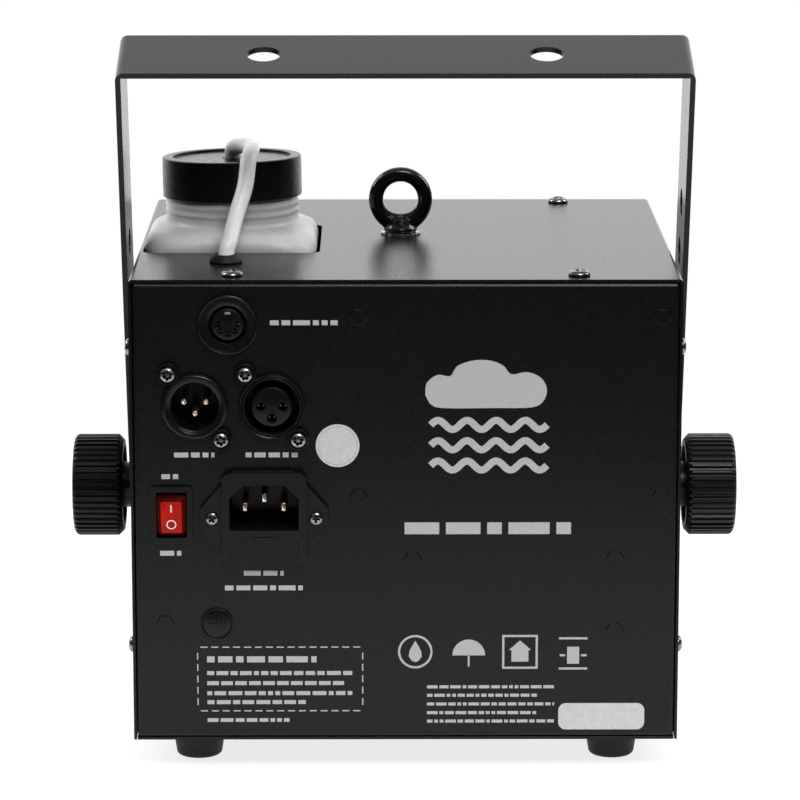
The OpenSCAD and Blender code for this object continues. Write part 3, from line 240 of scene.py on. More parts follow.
def make_reds():
    """Red rocker plastic: a bright face, and sides in a far darker copy of the same red, as painted shade."""
    face = new_material("red_rocker", (0.5, 0.006, 0.001), 0.4, Specular_IOR_Level=0.12)
    shade(face, (0.4, 0.003, 0.001), (0.6, 0.012, 0.002), 260)
    relief(face, 900, 0.00002, 0.0002)

    # Painted shade: the same red, far darker and duller, for the rocker's sides.
    side = new_material("red_side_shade", (0.05, 0.001, 0.0005), 0.4, Specular_IOR_Level=0.04)
    shade(side, (0.022, 0.0005, 0.0003), (0.09, 0.001, 0.0005), 300)
    return {"red_rocker": face, "red_side_shade": side}


def make_milky(name, tone, spread, scale, height, stretch=(1, 1, 1), roughness=0.36):
    """Milky polyethylene or silicone, which light soaks into."""
    mat = new_material(name, (tone, tone, tone), roughness, Subsurface_Weight=0.35,
                       Subsurface_Radius=(spread, spread, spread), Subsurface_Scale=1.0)
    shade(mat, (tone * 0.93, tone * 0.93, tone * 0.925), (tone * 1.04, tone * 1.04, tone * 1.03), scale,
          stretch=stretch)
    rough(mat, roughness - 0.05, roughness + 0.07, scale * 1.5)
    relief(mat, scale * 4, height)
    return mat


def make_film():
    """Silvery sticker film."""
    mat = new_material("label_film", (0.66, 0.66, 0.66), 0.4)
    shade(mat, (0.61, 0.61, 0.61), (0.7, 0.7, 0.7), 700)
    relief(mat, 1200, 0.00002, 0.0001)
    return mat


def make_ink(name, tone):
    """Screen-printed ink."""
    mat = new_material(name, (tone, tone, tone), 0.55)
    shade(mat, (tone * 0.9,) * 3, (tone * 1.1,) * 3, 1600)
    relief(mat, 2200, 0.00001)
    return mat


def make_inner_parts():
    """Finishes that show only through the slots: insulation, boards, wires and the fuse."""
    fibre = new_material("mineral_fibre", (0.7, 0.67, 0.58), 0.95)
    shade(fibre, (0.55, 0.52, 0.44), (0.8, 0.77, 0.68), 420, 6.0)
    relief(fibre, 700, 0.0004, 0.001, 5.0)

    board = new_material("board", (0.01, 0.12, 0.04), 0.3)
    shade(board, (0.006, 0.08, 0.03), (0.02, 0.2, 0.07), 160, 4.0)
    relief(board, 500, 0.00005, 0.0002)

    cover = new_material("wire_cover", (0.25, 0.06, 0.02), 0.45)
    shade(cover, (0.2, 0.05, 0.015), (0.32, 0.09, 0.03), 200)
    relief(cover, 700, 0.00004)

    glass = new_material("fuse_glass", (0.9, 0.92, 0.92), 0.06, Transmission_Weight=0.7)
    shade(glass, (0.82, 0.85, 0.85), (0.95, 0.96, 0.96), 300)
    return {"mineral_fibre": fibre, "board": board, "wire_cover": cover, "fuse_glass": glass}


MATERIALS = {
    **make_metals(),
    **make_blacks(),
    **make_inner_parts(),
    **make_reds(),
    # Painted shade on the bottle's plastic: its colour darkens in the hollows where the neck meets the
    # shoulders and near the cap and the lid.
    "milky_plastic": shadowed(make_milky("milky_plastic", 0.8, 0.003, 60, 0.00008), BOTTLE_SHADE_REACH, 0.45),
    "silicone": make_milky("silicone", 0.92, 0.0012, 150, 0.00003, (1, 1, 0.3), 0.33),
    "label_film": make_film(),
    "print_ink": make_ink("print_ink", 0.52),
    "mark_ink": make_ink("mark_ink", 0.85),
}
SLOT_OF = {part["node"]: part["material_slot"] for part in frame["record"]["subparts"]}

for name, obj in NODES.items():
    for place in obj.material_slots:
        place.material = MATERIALS[SLOT_OF[name]]
NODES["eyebolt_washer"].material_slots[0].material = MATERIALS["zinc_steel"]


# ---------- mesh making ----------

SMOOTH_ANGLE = math.radians(38)
UPRIGHT = Matrix.Rotation(math.radians(90), 4, "X")  # turns local Z towards the viewer


def add_object(name, data):
    """Makes an object with this data and links it to the scene."""
    obj = bpy.data.objects.new(name, data)
    bpy.context.scene.collection.objects.link(obj)
    return obj


def as_object(name, bm):
    """Makes an object of a bmesh, which is freed."""
    mesh = bpy.data.meshes.new(name)
    bm.to_mesh(mesh)
    bm.free()
    return add_object(name, mesh)


def piece(name, bm, body, slot, finish=None, stands_for=(), smooth=True):
    """Turns a bmesh into a finished piece that rides on a body."""
    bmesh.ops.recalc_face_normals(bm, faces=bm.faces)
    for face in bm.faces:
        face.smooth = smooth
    for edge in bm.edges:
        edge.smooth = smooth and len(edge.link_faces) == 2 and edge.calc_face_angle() < SMOOTH_ANGLE
    obj = as_object(name, bm)
    obj.data.materials.append(MATERIALS[finish or slot])
    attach(obj, body)
    if stands_for:
        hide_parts(*stands_for)
    return obj


def stand_in(name, bm, node_name, finish=None, smooth=True):
    """A piece on the case that replaces one CAD node; without a finish of its own it takes the node's slot
    material.
    """
    return piece(name, bm, "case", SLOT_OF[node_name], finish, [node_name], smooth)


def full_turn(steps):
    """Angles of a full turn in equal steps."""
    return [math.tau * i / steps for i in range(steps)]


def round_ring(place, radius, height, steps):
    """A circle of points at a height on the local Z axis of place."""
    return [place @ Vector((radius * math.cos(a), radius * math.sin(a), height)) for a in full_turn(steps)]


def stack_rings(bm, rings, wrap=False):
    """Skins rings of equally many points and closes the ends; wrap joins the last to the first."""
    rows = [[bm.verts.new(p) for p in ring] for ring in rings]
    count = len(rows[0])
    pairs = list(zip(rows, rows[1:])) + ([(rows[-1], rows[0])] if wrap else [])
    for a, b in pairs:
        for i in range(count):
            j = (i + 1) % count
            bm.faces.new((a[i], a[j], b[j], b[i]))
    if not wrap:
        bm.faces.new(rows[0][::-1])
        bm.faces.new(rows[-1])


def lathe(bm, profile, place=Matrix.Identity(4), steps=64, wrap=False):
    """Turns a profile of (radius, height) points, in metres, round the local Z axis of place."""
    stack_rings(bm, [round_ring(place, radius, height, steps) for radius, height in profile], wrap)


def arc(cx, cy, radius, start, stop, steps=6):
    """Points on an arc, for profiles; angles in degrees."""
    angles = [math.radians(start + (stop - start) * i / steps) for i in range(steps + 1)]
    return [(cx + radius * math.cos(a), cy + radius * math.sin(a)) for a in angles]


def scaled(points):
    """Points of a profile or outline, from millimetres to metres."""
    return [(a * MM, b * MM) for a, b in points]


def facing_rear(x, z, out=0.0):
    """A frame on the connector panel whose local Z points out of it."""
    return Matrix.Translation((x, PANEL_Y - out, z)) @ UPRIGHT


def smooth_path(points, steps):
    """A Catmull-Rom curve through the points."""
    pts = [Vector(p) for p in points]
    pts = [pts[0] * 2 - pts[1]] + pts + [pts[-1] * 2 - pts[-2]]
    out = []
    for a, b, c, d in zip(pts, pts[1:], pts[2:], pts[3:]):
        for i in range(steps):
            t = i / steps
            out.append(0.5 * ((2 * b) + (c - a) * t + (2 * a - 5 * b + 4 * c - d) * t * t
                              + (3 * b - a - 3 * c + d) * t ** 3))
    out.append(pts[-2])
    return out


def tube(bm, path, radius, steps=20):
    """Sweeps a circle along a path without twist."""
    tangents = []
    for i, p in enumerate(path):
        before, after = path[max(i - 1, 0)], path[min(i + 1, len(path) - 1)]
        tangents.append((after - before).normalized())
    side = tangents[0].orthogonal().normalized()
    rings = []
    for p, t in zip(path, tangents):
        side = (side - t * side.dot(t)).normalized()
        other = t.cross(side)
        rings.append([p + (side * math.cos(a) + other * math.sin(a)) * radius for a in full_turn(steps)])
    stack_rings(bm, rings)


def outline_prism(bm, outline, depth, place=Matrix.Identity(4), round_off=0.0):
    """A plate from z = 0 to depth over an outline in XY; its top edge may be rounded off."""
    rings = [[place @ Vector((x, y, 0)) for x, y in outline]]
    if round_off:
        centre_x = sum(p[0] for p in outline) / len(outline)
        centre_y = sum(p[1] for p in outline) / len(outline)
        reach = max(math.hypot(x - centre_x, y - centre_y) for x, y in outline)
        for step in range(4):
            turn = math.radians(30 * step)
            inset = 1 - round_off * (1 - math.cos(turn)) / reach
            up = depth - round_off + round_off * math.sin(turn)
            rings.append([place @ Vector((centre_x + (x - centre_x) * inset,
                                          centre_y + (y - centre_y) * inset, up)) for x, y in outline])
    else:
        rings.append([place @ Vector((x, y, depth)) for x, y in outline])
    stack_rings(bm, rings)


def rounded_box(width, height, radius, steps=5):
    """Outline of a rectangle with round corners, centred on 0, anticlockwise."""
    points = []
    for sx, sy, start in ((1, 1, 0), (-1, 1, 90), (-1, -1, 180), (1, -1, 270)):
        x, y = sx * (width / 2 - radius), sy * (height / 2 - radius)
        points += arc(x, y, radius, start, start + 90, steps)
    return points


# ---------- islands: the separate solids of a node ----------

def islands(name):
    """Lowest corner, highest corner and points of each separate solid of a node."""
    bm = bmesh.new()
    obj = NODES[name]
    bm.from_mesh(obj.data)
    bmesh.ops.transform(bm, matrix=obj.matrix_world, verts=bm.verts)
    bmesh.ops.remove_doubles(bm, verts=bm.verts, dist=1e-6)
    seen, boxes = set(), []
    for vert in bm.verts:
        if vert in seen:
            continue
        todo, group = [vert], []
        seen.add(vert)
        while todo:
            current = todo.pop()
            group.append(current.co.copy())
            for edge in current.link_edges:
                other = edge.other_vert(current)
                if other not in seen:
                    seen.add(other)
                    todo.append(other)
        boxes.append((Vector([min(p[i] for p in group) for i in range(3)]),
                      Vector([max(p[i] for p in group) for i in range(3)]), group))
    bm.free()
    return boxes


# ---------- screws ----------

def screw_drop(kind, x, y, radius):
    """How deep the drive recess is at a place on the head, for a head of this radius."""
    if kind == "lobes":
        reach = math.hypot(x, y)
        turn = math.atan2(y, x)
        edge = radius * (0.56 + 0.11 * math.cos(6 * turn))
        return 0.6 * radius * min(max((edge - reach) / (0.07 * radius), 0), 1)
    arm, half = 0.6 * radius, 0.1 * radius
    deepest = 0.0
    for along, across in ((abs(x), abs(y)), (abs(y), abs(x))):
        if across < half * 1.6 and along < arm:
            wall = min(max((half * 1.6 - across) / (half * 0.6), 0), 1)
            slope = min((arm - along) / (0.5 * arm), 1)
            deepest = max(deepest, 0.55 * radius * wall * slope)
    return deepest


def add_screw(bm, seat, axis, spin, radius, height, length, kind, shank):
    """A domed screw: head out along axis from its seat, shank the other way."""
    upright = Vector((0, 0, 1)).rotation_difference(axis).to_matrix().to_4x4()
    place = Matrix.Translation(seat) @ upright @ Matrix.Rotation(spin, 4, "Z")
    steps, rows = 48, 15
    rings = [round_ring(place, shank, -length, steps), round_ring(place, shank, 0, steps)]
    for reach, up in ((0.93, 0.0), (1.0, 0.12), (1.0, 0.3)):
        rings.append(round_ring(place, radius * reach, height * up, steps))
    for row in range(rows):
        reach = radius * (0.985 - 0.985 * row / rows)
        dome = height * (0.3 + 0.8 * math.sqrt(max(1 - (reach / radius) ** 2.2, 0)))
        flat = [(reach * math.cos(a), reach * math.sin(a)) for a in full_turn(steps)]
        rings.append([place @ Vector((x, y, dome - screw_drop(kind, x, y, radius))) for x, y in flat])
    stack_rings(bm, rings)


def screws(node_name, kind, finish):
    """Rebuilds every screw of a node with a domed head and a drive, at its own seat."""
    bm = bmesh.new()
    for number, (a, b, points) in enumerate(islands(node_name)):
        spans = b - a
        axis = min(range(3), key=lambda i: abs(spans[(i + 1) % 3] - spans[(i + 2) % 3]))
        u, v = (axis + 1) % 3, (axis + 2) % 3
        across = spans[u]
        widest = [p[axis] for p in points if abs(p[u] - (a + b)[u] / 2) > across * 0.45]
        middle = (a[axis] + b[axis]) / 2
        outward = 1 if sum(widest) / len(widest) > middle else -1
        seat_at = min(widest) if outward > 0 else max(widest)
        tip, end = (b[axis], a[axis]) if outward > 0 else (a[axis], b[axis])
        seat = (a + b) / 2
        seat[axis] = seat_at
        direction = Vector((0, 0, 0))
        direction[axis] = outward
        head = abs(tip - seat_at)
        shank = min(abs(p[u] - seat[u]) ** 2 + abs(p[v] - seat[v]) ** 2
                    for p in points if abs(p[axis] - end) < 1e-5) ** 0.5
        add_screw(bm, seat, direction, number * 0.9 + 0.6, across / 2, head, spans[axis] - head, kind,
                  min(max(shank, across * 0.2), across * 0.3))
    piece(node_name + "_look", bm, "case", "zinc_steel", finish, [node_name])


def make_screws():
    screws("case_screws", "phillips", "screw_dark")
    screws("xlr_screws", "lobes", "screw_bright")
    screws("inlet_screws", "phillips", "screw_dark")


# ---------- bottle, cap and tube ----------

CAP_LEAN_BACK = math.radians(-1.6)
CAP_LEAN_LEFT = math.radians(-1.0)
CAP_LIP = 1.4 * MM          # how far the cap stands over the bottle's neck
CAP_SKIRT = 3.6 * MM
SHOULDER_Z = LID_Z + 6.4 * MM
BOTTLE_WALL = 1.4 * MM
NECK_RINGS = (LID_Z + 10.8 * MM, LID_Z + 13.8 * MM)
GAP = 0.01 * MM


def square_ring(width, radius, height, centre_at, steps=18):
    """A rounded square of points; steps are those of one quarter."""
    half = width / 2
    ring = []
    for turn in full_turn(steps * 4):
        c, s = math.cos(turn), math.sin(turn)
        inner = half - radius       # where the corner's arc is centred
        reach = half / max(abs(c), abs(s))
        if abs(c) * reach > inner and abs(s) * reach > inner:
            b = abs(c) * inner + abs(s) * inner
            reach = b + math.sqrt(max(b * b - 2 * inner * inner + radius * radius, 0))
        ring.append(Vector((centre_at.x + c * reach, centre_at.y + s * reach, height)))
    return ring


def make_bottle():
    """Blow-moulded bottle: square body, flowing shoulders, ringed neck; hollow and closed."""
    at = centre("bottle")
    width = size("bottle").x + 1 * MM
    floor, top = low("bottle").z, high("bottle").z
    neck = size("bottle_cap").x / 2 - CAP_LIP
    body = [(width - 10 * MM, 8 * MM, floor), (width - 4 * MM, 10 * MM, floor + 0.6 * MM),
            (width - 1 * MM, 11 * MM, floor + 2.2 * MM), (width, 11 * MM, floor + 5 * MM)]
    for k in range(1, 8):
        body.append((width, 11 * MM, floor + 5 * MM + (SHOULDER_Z - 9 * MM - floor - 5 * MM) * k / 8))
    for wider, radius, under in ((0.8, 11.5, 10.4), (1.5, 12, 8), (1.3, 12.5, 5.8), (-0.2, 14, 3.4),
                                 (-2.6, 16, 1.4), (-5.6, 19, 0.1)):
        body.append((width + wider * MM, radius * MM, SHOULDER_Z - under * MM))
    blend_up = [(neck * 2 + wider * MM, SHOULDER_Z + up * MM)
                for wider, up in ((2.4, 0.9), (0.9, 1.7), (0.2, 2.7), (0, 3.9))]

    def rings_for(inset):
        rings = []
        for w, r, z in body:
            lift = inset if z < floor + inset else 0
            rings.append(square_ring(w - 2 * inset, max(r - inset, 1 * MM), z + lift, at))
        for w, z in blend_up:
            rings.append(square_ring(w - 2 * inset, w / 2 - inset - GAP, z, at))
        return rings

    def neck_ring(out, z):
        return square_ring(neck * 2 + 2 * out, neck + out - GAP, z, at)

    outer = rings_for(0)
    for bottom in NECK_RINGS:
        for out, up in ((0, 0), (0.22, 0.5), (0.3, 1.0), (0.22, 1.5), (0, 2.0)):
            outer.append(neck_ring(out * MM, bottom + up * MM))
    outer += [neck_ring(-1.5 * MM, top - 0.4 * MM), neck_ring(-1.8 * MM, top)]
    inner = rings_for(BOTTLE_WALL) + [neck_ring(-3 * MM, top - 0.4 * MM), neck_ring(-2.8 * MM, top)]
    bm = bmesh.new()
    stack_rings(bm, outer + inner[::-1])
    stand_in("bottle_look", bm, "bottle")


def make_cap():
    """Screw cap: finely ribbed side, rounded lip, recessed disc with a step, tube hole."""
    at = centre("bottle_cap")
    radius = size("bottle_cap").x / 2
    floor, top = low("bottle_cap").z, high("bottle_cap").z
    hole = TUBE_RADIUS + 0.6 * MM
    half_way = (floor + top) / 2
    lean = Matrix.Rotation(CAP_LEAN_BACK, 4, "X") @ Matrix.Rotation(CAP_LEAN_LEFT, 4, "Y")
    place = Matrix.Translation((at.x, at.y, half_way)) @ lean @ Matrix.Translation((0, 0, -half_way))
    steps = 240
    ribbed = (4, 5)
    side = [(radius - CAP_SKIRT, floor), (radius - 0.3 * MM, floor), (radius, floor + 0.3 * MM),
            (radius, floor + 1.2 * MM), (radius - 0.02 * MM, floor + 1.4 * MM)]
    lip = [(radius - inward * MM, top - down * MM)
           for inward, down in ((0.05, 1.0), (0.05, 0.6), (0.15, 0.25), (0.5, 0.02), (2.2, 0), (3.7, 0.02),
                                (4.0, 0.2), (4.1, 0.9), (4.5, 1.1), (5.0, 1.1), (5.3, 0.95), (9, 0.95))]
    bore = [(hole + 2.2 * MM, top - 0.9 * MM), (hole + 0.9 * MM, top - 0.85 * MM), (hole, top - 1.0 * MM),
            (hole, floor + 8.5 * MM), (radius - CAP_SKIRT, floor + 8.5 * MM)]
    rings = []
    for index, (r, z) in enumerate(side + lip + bore):
        inset = [0.07 * MM if index in ribbed and i % 2 else 0.0 for i in range(steps)]
        rings.append([place @ Vector(((r - rib) * math.cos(a), (r - rib) * math.sin(a), z))
                      for rib, a in zip(inset, full_turn(steps))])
    bm = bmesh.new()
    stack_rings(bm, rings, wrap=True)
    piece("bottle_cap_look", bm, "cap", "black_plastic", "cap_plastic", ["bottle_cap"])


def make_tube():
    """Suction tube: from the cap, over in an arch, and down through the lid to the pump."""
    cap, hole = centre("bottle_cap"), centre("tube_grommet")
    top = high("bottle_cap").z
    pump_x, pump_y, inlet_z = cap.x + 7.2 * MM, cap.y - 0.5 * MM, 22 * MM

    def near_cap(x, y, z):
        return (cap.x + x * MM, cap.y + y * MM, top + z * MM)

    route = [(cap.x, cap.y, 104.5 * MM), near_cap(0, 0, -15), near_cap(0, 0, -3), near_cap(0, 0, -0.4),
             near_cap(0.9, -2.8, 3.4), near_cap(4.8, -9, 5.0), near_cap(7.8, -17, 5.1),
             near_cap(8, -24, 4.6), near_cap(7.2, -29.4, 2), near_cap(6, -35, -7),
             near_cap(2.9, -42, -16.5), near_cap(0.8, -49.6, -24.6),
             (hole.x + 0.25 * MM, hole.y + 0.9 * MM, LID_Z + 3.4 * MM),
             (hole.x, hole.y, LID_Z - 8 * MM), (hole.x, hole.y, LID_Z - 70 * MM),
             (hole.x, hole.y, 44 * MM), (hole.x + 2 * MM, hole.y + 3 * MM, 31 * MM),
             (pump_x - 3 * MM, pump_y - 42 * MM, 23.5 * MM), (pump_x, pump_y - 34 * MM, inlet_z),
             (pump_x, pump_y - 30 * MM, inlet_z), (pump_x, pump_y - 26 * MM, inlet_z)]
    bm = bmesh.new()
    tube(bm, smooth_path(route, 7), TUBE_RADIUS, 24)
    stand_in("fluid_tube_look", bm, "fluid_tube")


def make_grommet():
    """Rubber grommet: a round bead on the lid and one under it."""
    at = centre("tube_grommet")
    half = size("tube_grommet").x / 2
    low_z, high_z = low("tube_grommet").z, high("tube_grommet").z
    bore = TUBE_RADIUS + 0.05 * MM
    neck = half - 2 * MM
    profile = [(bore, low_z), (half - 1.2 * MM, low_z), (half, low_z + 0.8 * MM), (half, LID_Z - 1.6 * MM),
               (neck, LID_Z - 1.3 * MM), (neck, LID_Z), (half - 0.2 * MM, LID_Z + 0.05 * MM),
               (half, LID_Z + 0.6 * MM), (half - 0.35 * MM, LID_Z + 1.3 * MM),
               (half - 1.4 * MM, high_z - 0.5 * MM), (bore + 1.2 * MM, high_z), (bore, high_z)]
    bm = bmesh.new()
    lathe(bm, profile, Matrix.Translation((at.x, at.y, 0)), 64, wrap=True)
    stand_in("tube_grommet_look", bm, "tube_grommet", "black_rubber")


# ---------- eyebolt ----------

EYE_WIRE = 2.82 * MM     # half the thickness of the ring at its top
EYE_EDGE = 2.7 * MM      # from the ring's middle line to the CAD box
WASHER_THICK = 0.8 * MM
EYE_VOXEL = 0.42 * MM


def make_eyebolt():
    """Cast eye: a ring that flows into a wide neck and collar, on a toothed washer."""
    at = centre("eyebolt")
    a, b = low("eyebolt"), high("eyebolt")
    ring = (b.x - a.x) / 2 - EYE_EDGE
    middle = b.z - ring - EYE_EDGE
    collar_z = LID_Z + WASHER_THICK
    shank = (a.z - collar_z) / MM
    bm = bmesh.new()
    steps, sides = 72, 24
    rings = []
    for t in full_turn(steps):
        lower = max(0.0, -math.sin(t)) ** 3
        thick, flat = EYE_WIRE * (1 + 0.32 * lower), EYE_WIRE * (1 + 0.12 * lower)
        core = Vector((at.x + ring * math.cos(t), at.y, middle + ring * math.sin(t)))
        out = Vector((math.cos(t), 0, math.sin(t)))
        rings.append([core + out * thick * math.cos(s) + Vector((0, flat * math.sin(s), 0))
                      for s in full_turn(sides)])
    stack_rings(bm, rings, wrap=True)
    lathe(bm, scaled([(0.05, 6.6), (2.4, 6.3), (3.9, 5.4), (4.6, 4.3), (5.1, 3.3), (5.6, 2.5), (6.1, 1.9),
                      (6.35, 1.5), (6.35, 0.4), (6.1, 0.0), (3.9, 0.0), (3.9, -0.9), (4.0, -1.0),
                      (4.0, shank + 0.5), (3.5, shank), (0.05, shank)]),
          Matrix.Translation((at.x, at.y, collar_z)), 48)
    bmesh.ops.recalc_face_normals(bm, faces=bm.faces)
    work = as_object("eye_work", bm)
    remesh = work.modifiers.new("join", "REMESH")
    remesh.mode = "VOXEL"
    remesh.voxel_size = EYE_VOXEL
    smooth = work.modifiers.new("smooth", "SMOOTH")
    smooth.factor = 0.5
    smooth.iterations = 6
    solid = bmesh.new()
    graph = bpy.context.evaluated_depsgraph_get()
    solid.from_mesh(work.evaluated_get(graph).to_mesh())
    bpy.data.objects.remove(work)
    stand_in("eyebolt_look", solid, "eyebolt", "eye_black")


# ---------- connectors: sizes and places in millimetres, x and z on the panel ----------

XLR_IN, XLR_OUT = (-76.0, 136.0), (-48.2, 136.0)
EAR = (9.5, 12.0)        # from a flange's centre to its screws
XLR_PINS = ((-4.0, 1.2), (4.0, 1.2), (0.0, -3.0))
XLR_HOLES = ((4.0, 0.0), (-4.0, 0.0), (0.0, -4.2))
XLR_FLOOR = -14.5
PIN_TIP = -1.5
DIN_PIN_CIRCLE = 3.5
INLET_SOCKET_Z = 99.2
INLET_HALF, INLET_TOP, INLET_CORNER = 12.5, 8.35, 5.0
INLET_DEEP = -16.9


def xlr_flange(bm, x, z, profile):
    """Round flange with its two ear bosses, each its own closed ring."""
    place = facing_rear(x * MM, z * MM)
    lathe(bm, scaled(profile), place, 96, wrap=True)
    for side in (-1, 1):
        ear = facing_rear((x - side * EAR[0]) * MM, (z + side * EAR[1]) * MM)
        lathe(bm, scaled([(0.01, -0.1), (4.0, -0.1), (4.0, 1.7), (3.9, 2.1), (3.6, 2.4), (3.2, 2.4),
                          (3.0, 2.2), (2.95, 1.35), (0.01, 1.3)]), ear, 48)


def make_xlr_in():
    """Plug half: flange, deep round shell with its floor, three gilt pins."""
    x, z = XLR_IN
    bm = bmesh.new()
    xlr_flange(bm, x, z, [(8.65, XLR_FLOOR), (9.9, XLR_FLOOR), (9.9, -0.6), (9.9, -0.1), (12.0, -0.1),
                          (12.0, 1.3), (11.85, 1.9), (11.4, 2.35), (10.8, 2.5), (10.3, 2.35), (10.05, 1.9),
                          (9.75, 1.6), (9.4, 1.55), (9.0, 1.4), (8.75, 1.0), (8.65, 0.4)])
    lathe(bm, scaled([(0.01, XLR_FLOOR - 1.5), (9.9, XLR_FLOOR - 1.5), (9.9, XLR_FLOOR - 0.01),
                      (0.01, XLR_FLOOR - 0.01)]), facing_rear(x * MM, z * MM), 64)
    stand_in("xlr_in_look", bm, "xlr_in_shell", "connector_black")
    pins = bmesh.new()
    for px, pz in XLR_PINS:
        lathe(pins, scaled([(0.01, XLR_FLOOR - 1.4), (1.2, XLR_FLOOR - 1.4), (1.2, PIN_TIP - 0.6),
                            (1.1, PIN_TIP - 0.1), (0.85, PIN_TIP + 0.2), (0.5, PIN_TIP + 0.25),
                            (0.3, PIN_TIP + 0.05), (0.01, PIN_TIP)]),
              facing_rear((x + px) * MM, (z + pz) * MM), 32)
    stand_in("xlr_pins_look", pins, "xlr_in_pins", "gilt_contacts")


def make_xlr_out():
    """Socket half: flange with a groove, insert with three holes and the contacts in them."""
    x, z = XLR_OUT
    place = facing_rear(x * MM, z * MM)
    bm = bmesh.new()
    xlr_flange(bm, x, z, [(9.75, -12), (9.9, -12), (9.9, -0.1), (12.0, -0.1), (12.0, 1.4), (11.85, 1.95),
                          (11.45, 2.3), (11.15, 2.1), (10.95, 1.9), (10.75, 2.1), (10.45, 2.4), (10.1, 2.4),
                          (9.85, 2.1), (9.75, 1.5)])
    lathe(bm, scaled([(0.01, -13.5), (9.9, -13.5), (9.9, -12.01), (0.01, -12.01)]), place, 64)
    stand_in("xlr_out_look", bm, "xlr_out_shell", "connector_black")
    insert = bmesh.new()
    plug_with_holes(insert, place, 7.35, 1.7, XLR_HOLES, 1.45, 9.0)
    stand_in("xlr_insert_look", insert, "xlr_out_insert", "insert_grey")
    contacts = bmesh.new()
    for px, pz in XLR_HOLES:
        for side in (-1, 1):
            lathe(contacts, scaled([(0.01, -5.0), (0.35, -5.0), (0.35, 0.1), (0.2, 0.3), (0.01, 0.3)]),
                  facing_rear((x + px + 0.85 * side) * MM, (z + pz + 0.25) * MM), 12)
    piece("xlr_contacts_look", contacts, "case", "zinc_steel")


def plug_with_holes(bm, place, radius, proud, holes, hole_radius, deep):
    """A round plug with rounded rim and round blind holes, as one closed solid."""
    body = bmesh.new()
    lathe(body, scaled([(0.01, -deep - 2), (radius, -deep - 2), (radius, proud - 0.9),
                        (radius - 0.25, proud - 0.3), (radius - 0.9, proud), (0.01, proud)]), place, 96)
    drill = bmesh.new()
    for x, y in holes:
        wide = hole_radius + 0.35
        lathe(drill, scaled([(0.005, -deep), (hole_radius, -deep), (hole_radius, proud - 0.35),
                             (wide, proud + 0.05), (wide, proud + 1), (0.005, proud + 1)]),
              place @ Matrix.Translation((x * MM, y * MM, 0)), 32)
    carve(bm, body, drill)


def carve(bm, body, drill):
    """Cuts drill from body exactly and adds what is left to bm."""
    made = []
    for source in (body, drill):
        bmesh.ops.recalc_face_normals(source, faces=source.faces)
        made.append(as_object("work", source))
    cut = made[0].modifiers.new("cut", "BOOLEAN")
    cut.operation, cut.solver, cut.object = "DIFFERENCE", "EXACT", made[1]
    graph = bpy.context.evaluated_depsgraph_get()
    bm.from_mesh(made[0].evaluated_get(graph).to_mesh())
    for obj in made:
        bpy.data.objects.remove(obj)


def make_din():
    """Round remote socket: flange, sunk insert with five holes, its key and contacts."""
    at = centre("din_shell")
    place = facing_rear(at.x, at.z)
    bm = bmesh.new()
    lathe(bm, scaled([(6.9, -6), (8.5, -6), (8.5, -0.1), (10.85, -0.1), (10.85, 1.0), (10.7, 1.4),
                      (10.4, 1.55), (10.15, 1.45), (10.0, 1.1), (9.8, 0.85), (8.6, 0.8), (7.4, 0.75),
                      (7.0, 0.6), (6.9, 0.3)]), place, 96, wrap=True)
    stand_in("din_look", bm, "din_shell", "connector_black")
    angles = [math.radians(180 + 45 * k) for k in range(5)]
    pins = [(DIN_PIN_CIRCLE * math.cos(t), DIN_PIN_CIRCLE * math.sin(t)) for t in angles]
    insert = bmesh.new()
    plug_with_holes(insert, place, 5.9, 0.3, pins, 0.95, 5.0)
    lathe(insert, scaled([(5.95, -7.4), (6.85, -7.4), (6.85, -4.0), (5.95, -4.0)]), place, 64, wrap=True)
    stand_in("din_insert_look", insert, "din_insert", "insert_grey")
    contacts = bmesh.new()
    for x, y in pins:
        for side in (-1, 1):
            lathe(contacts, scaled([(0.01, -4.0), (0.18, -4.0), (0.18, 0.15), (0.1, 0.3), (0.01, 0.32)]),
                  place @ Matrix.Translation(((x + 0.5 * side) * MM, (y + 0.1) * MM, 0)), 10)
    key = place @ Matrix.Translation((0, 4.2 * MM, 0))
    outline_prism(contacts, scaled(rounded_box(2.1, 0.75, 0.2)), 0.55 * MM, key, 0.1 * MM)
    piece("din_contacts_look", contacts, "case", "zinc_steel")


def inlet_outline(inset):
    """Outline of the mains socket: a box with its two upper corners cut off."""
    w, a, b = INLET_HALF - inset, inset - INLET_TOP, INLET_TOP - inset
    c = INLET_CORNER
    return [(w, a), (w, b - c), (w - c, b), (c - w, b), (-w, b - c), (-w, a)]


def make_inlet_shade_sheet():
    """Painted shade: a near-black, matt sheet lining the mains inlet's cavity, so that the cavity reads as
    deep shadow.
    """
    x = centre("inlet_pins").x
    place = facing_rear(x, INLET_SOCKET_Z * MM)
    rings = []
    for inset, depth in ((0.0, -0.6), (0.0, INLET_DEEP), (0.25, INLET_DEEP), (0.25, -0.6)):
        rings.append([place @ Vector((px * MM, py * MM, depth * MM)) for px, py in inlet_outline(inset)])
    bm = bmesh.new()
    stack_rings(bm, rings, wrap=True)
    w, c = INLET_HALF - 0.3, INLET_CORNER
    top = INLET_TOP - 0.3
    floor = [(w, -top), (w, INLET_TOP - c), (w - c, top), (c - w, top), (-w, INLET_TOP - c), (-w, -top)]
    outline_prism(bm, scaled(floor), 0.2 * MM, facing_rear(x, INLET_SOCKET_Z * MM, (INLET_DEEP + 0.05) * MM))
    piece("inlet_shade_liner", bm, "case", "black_plastic", "cavity_shade_black")


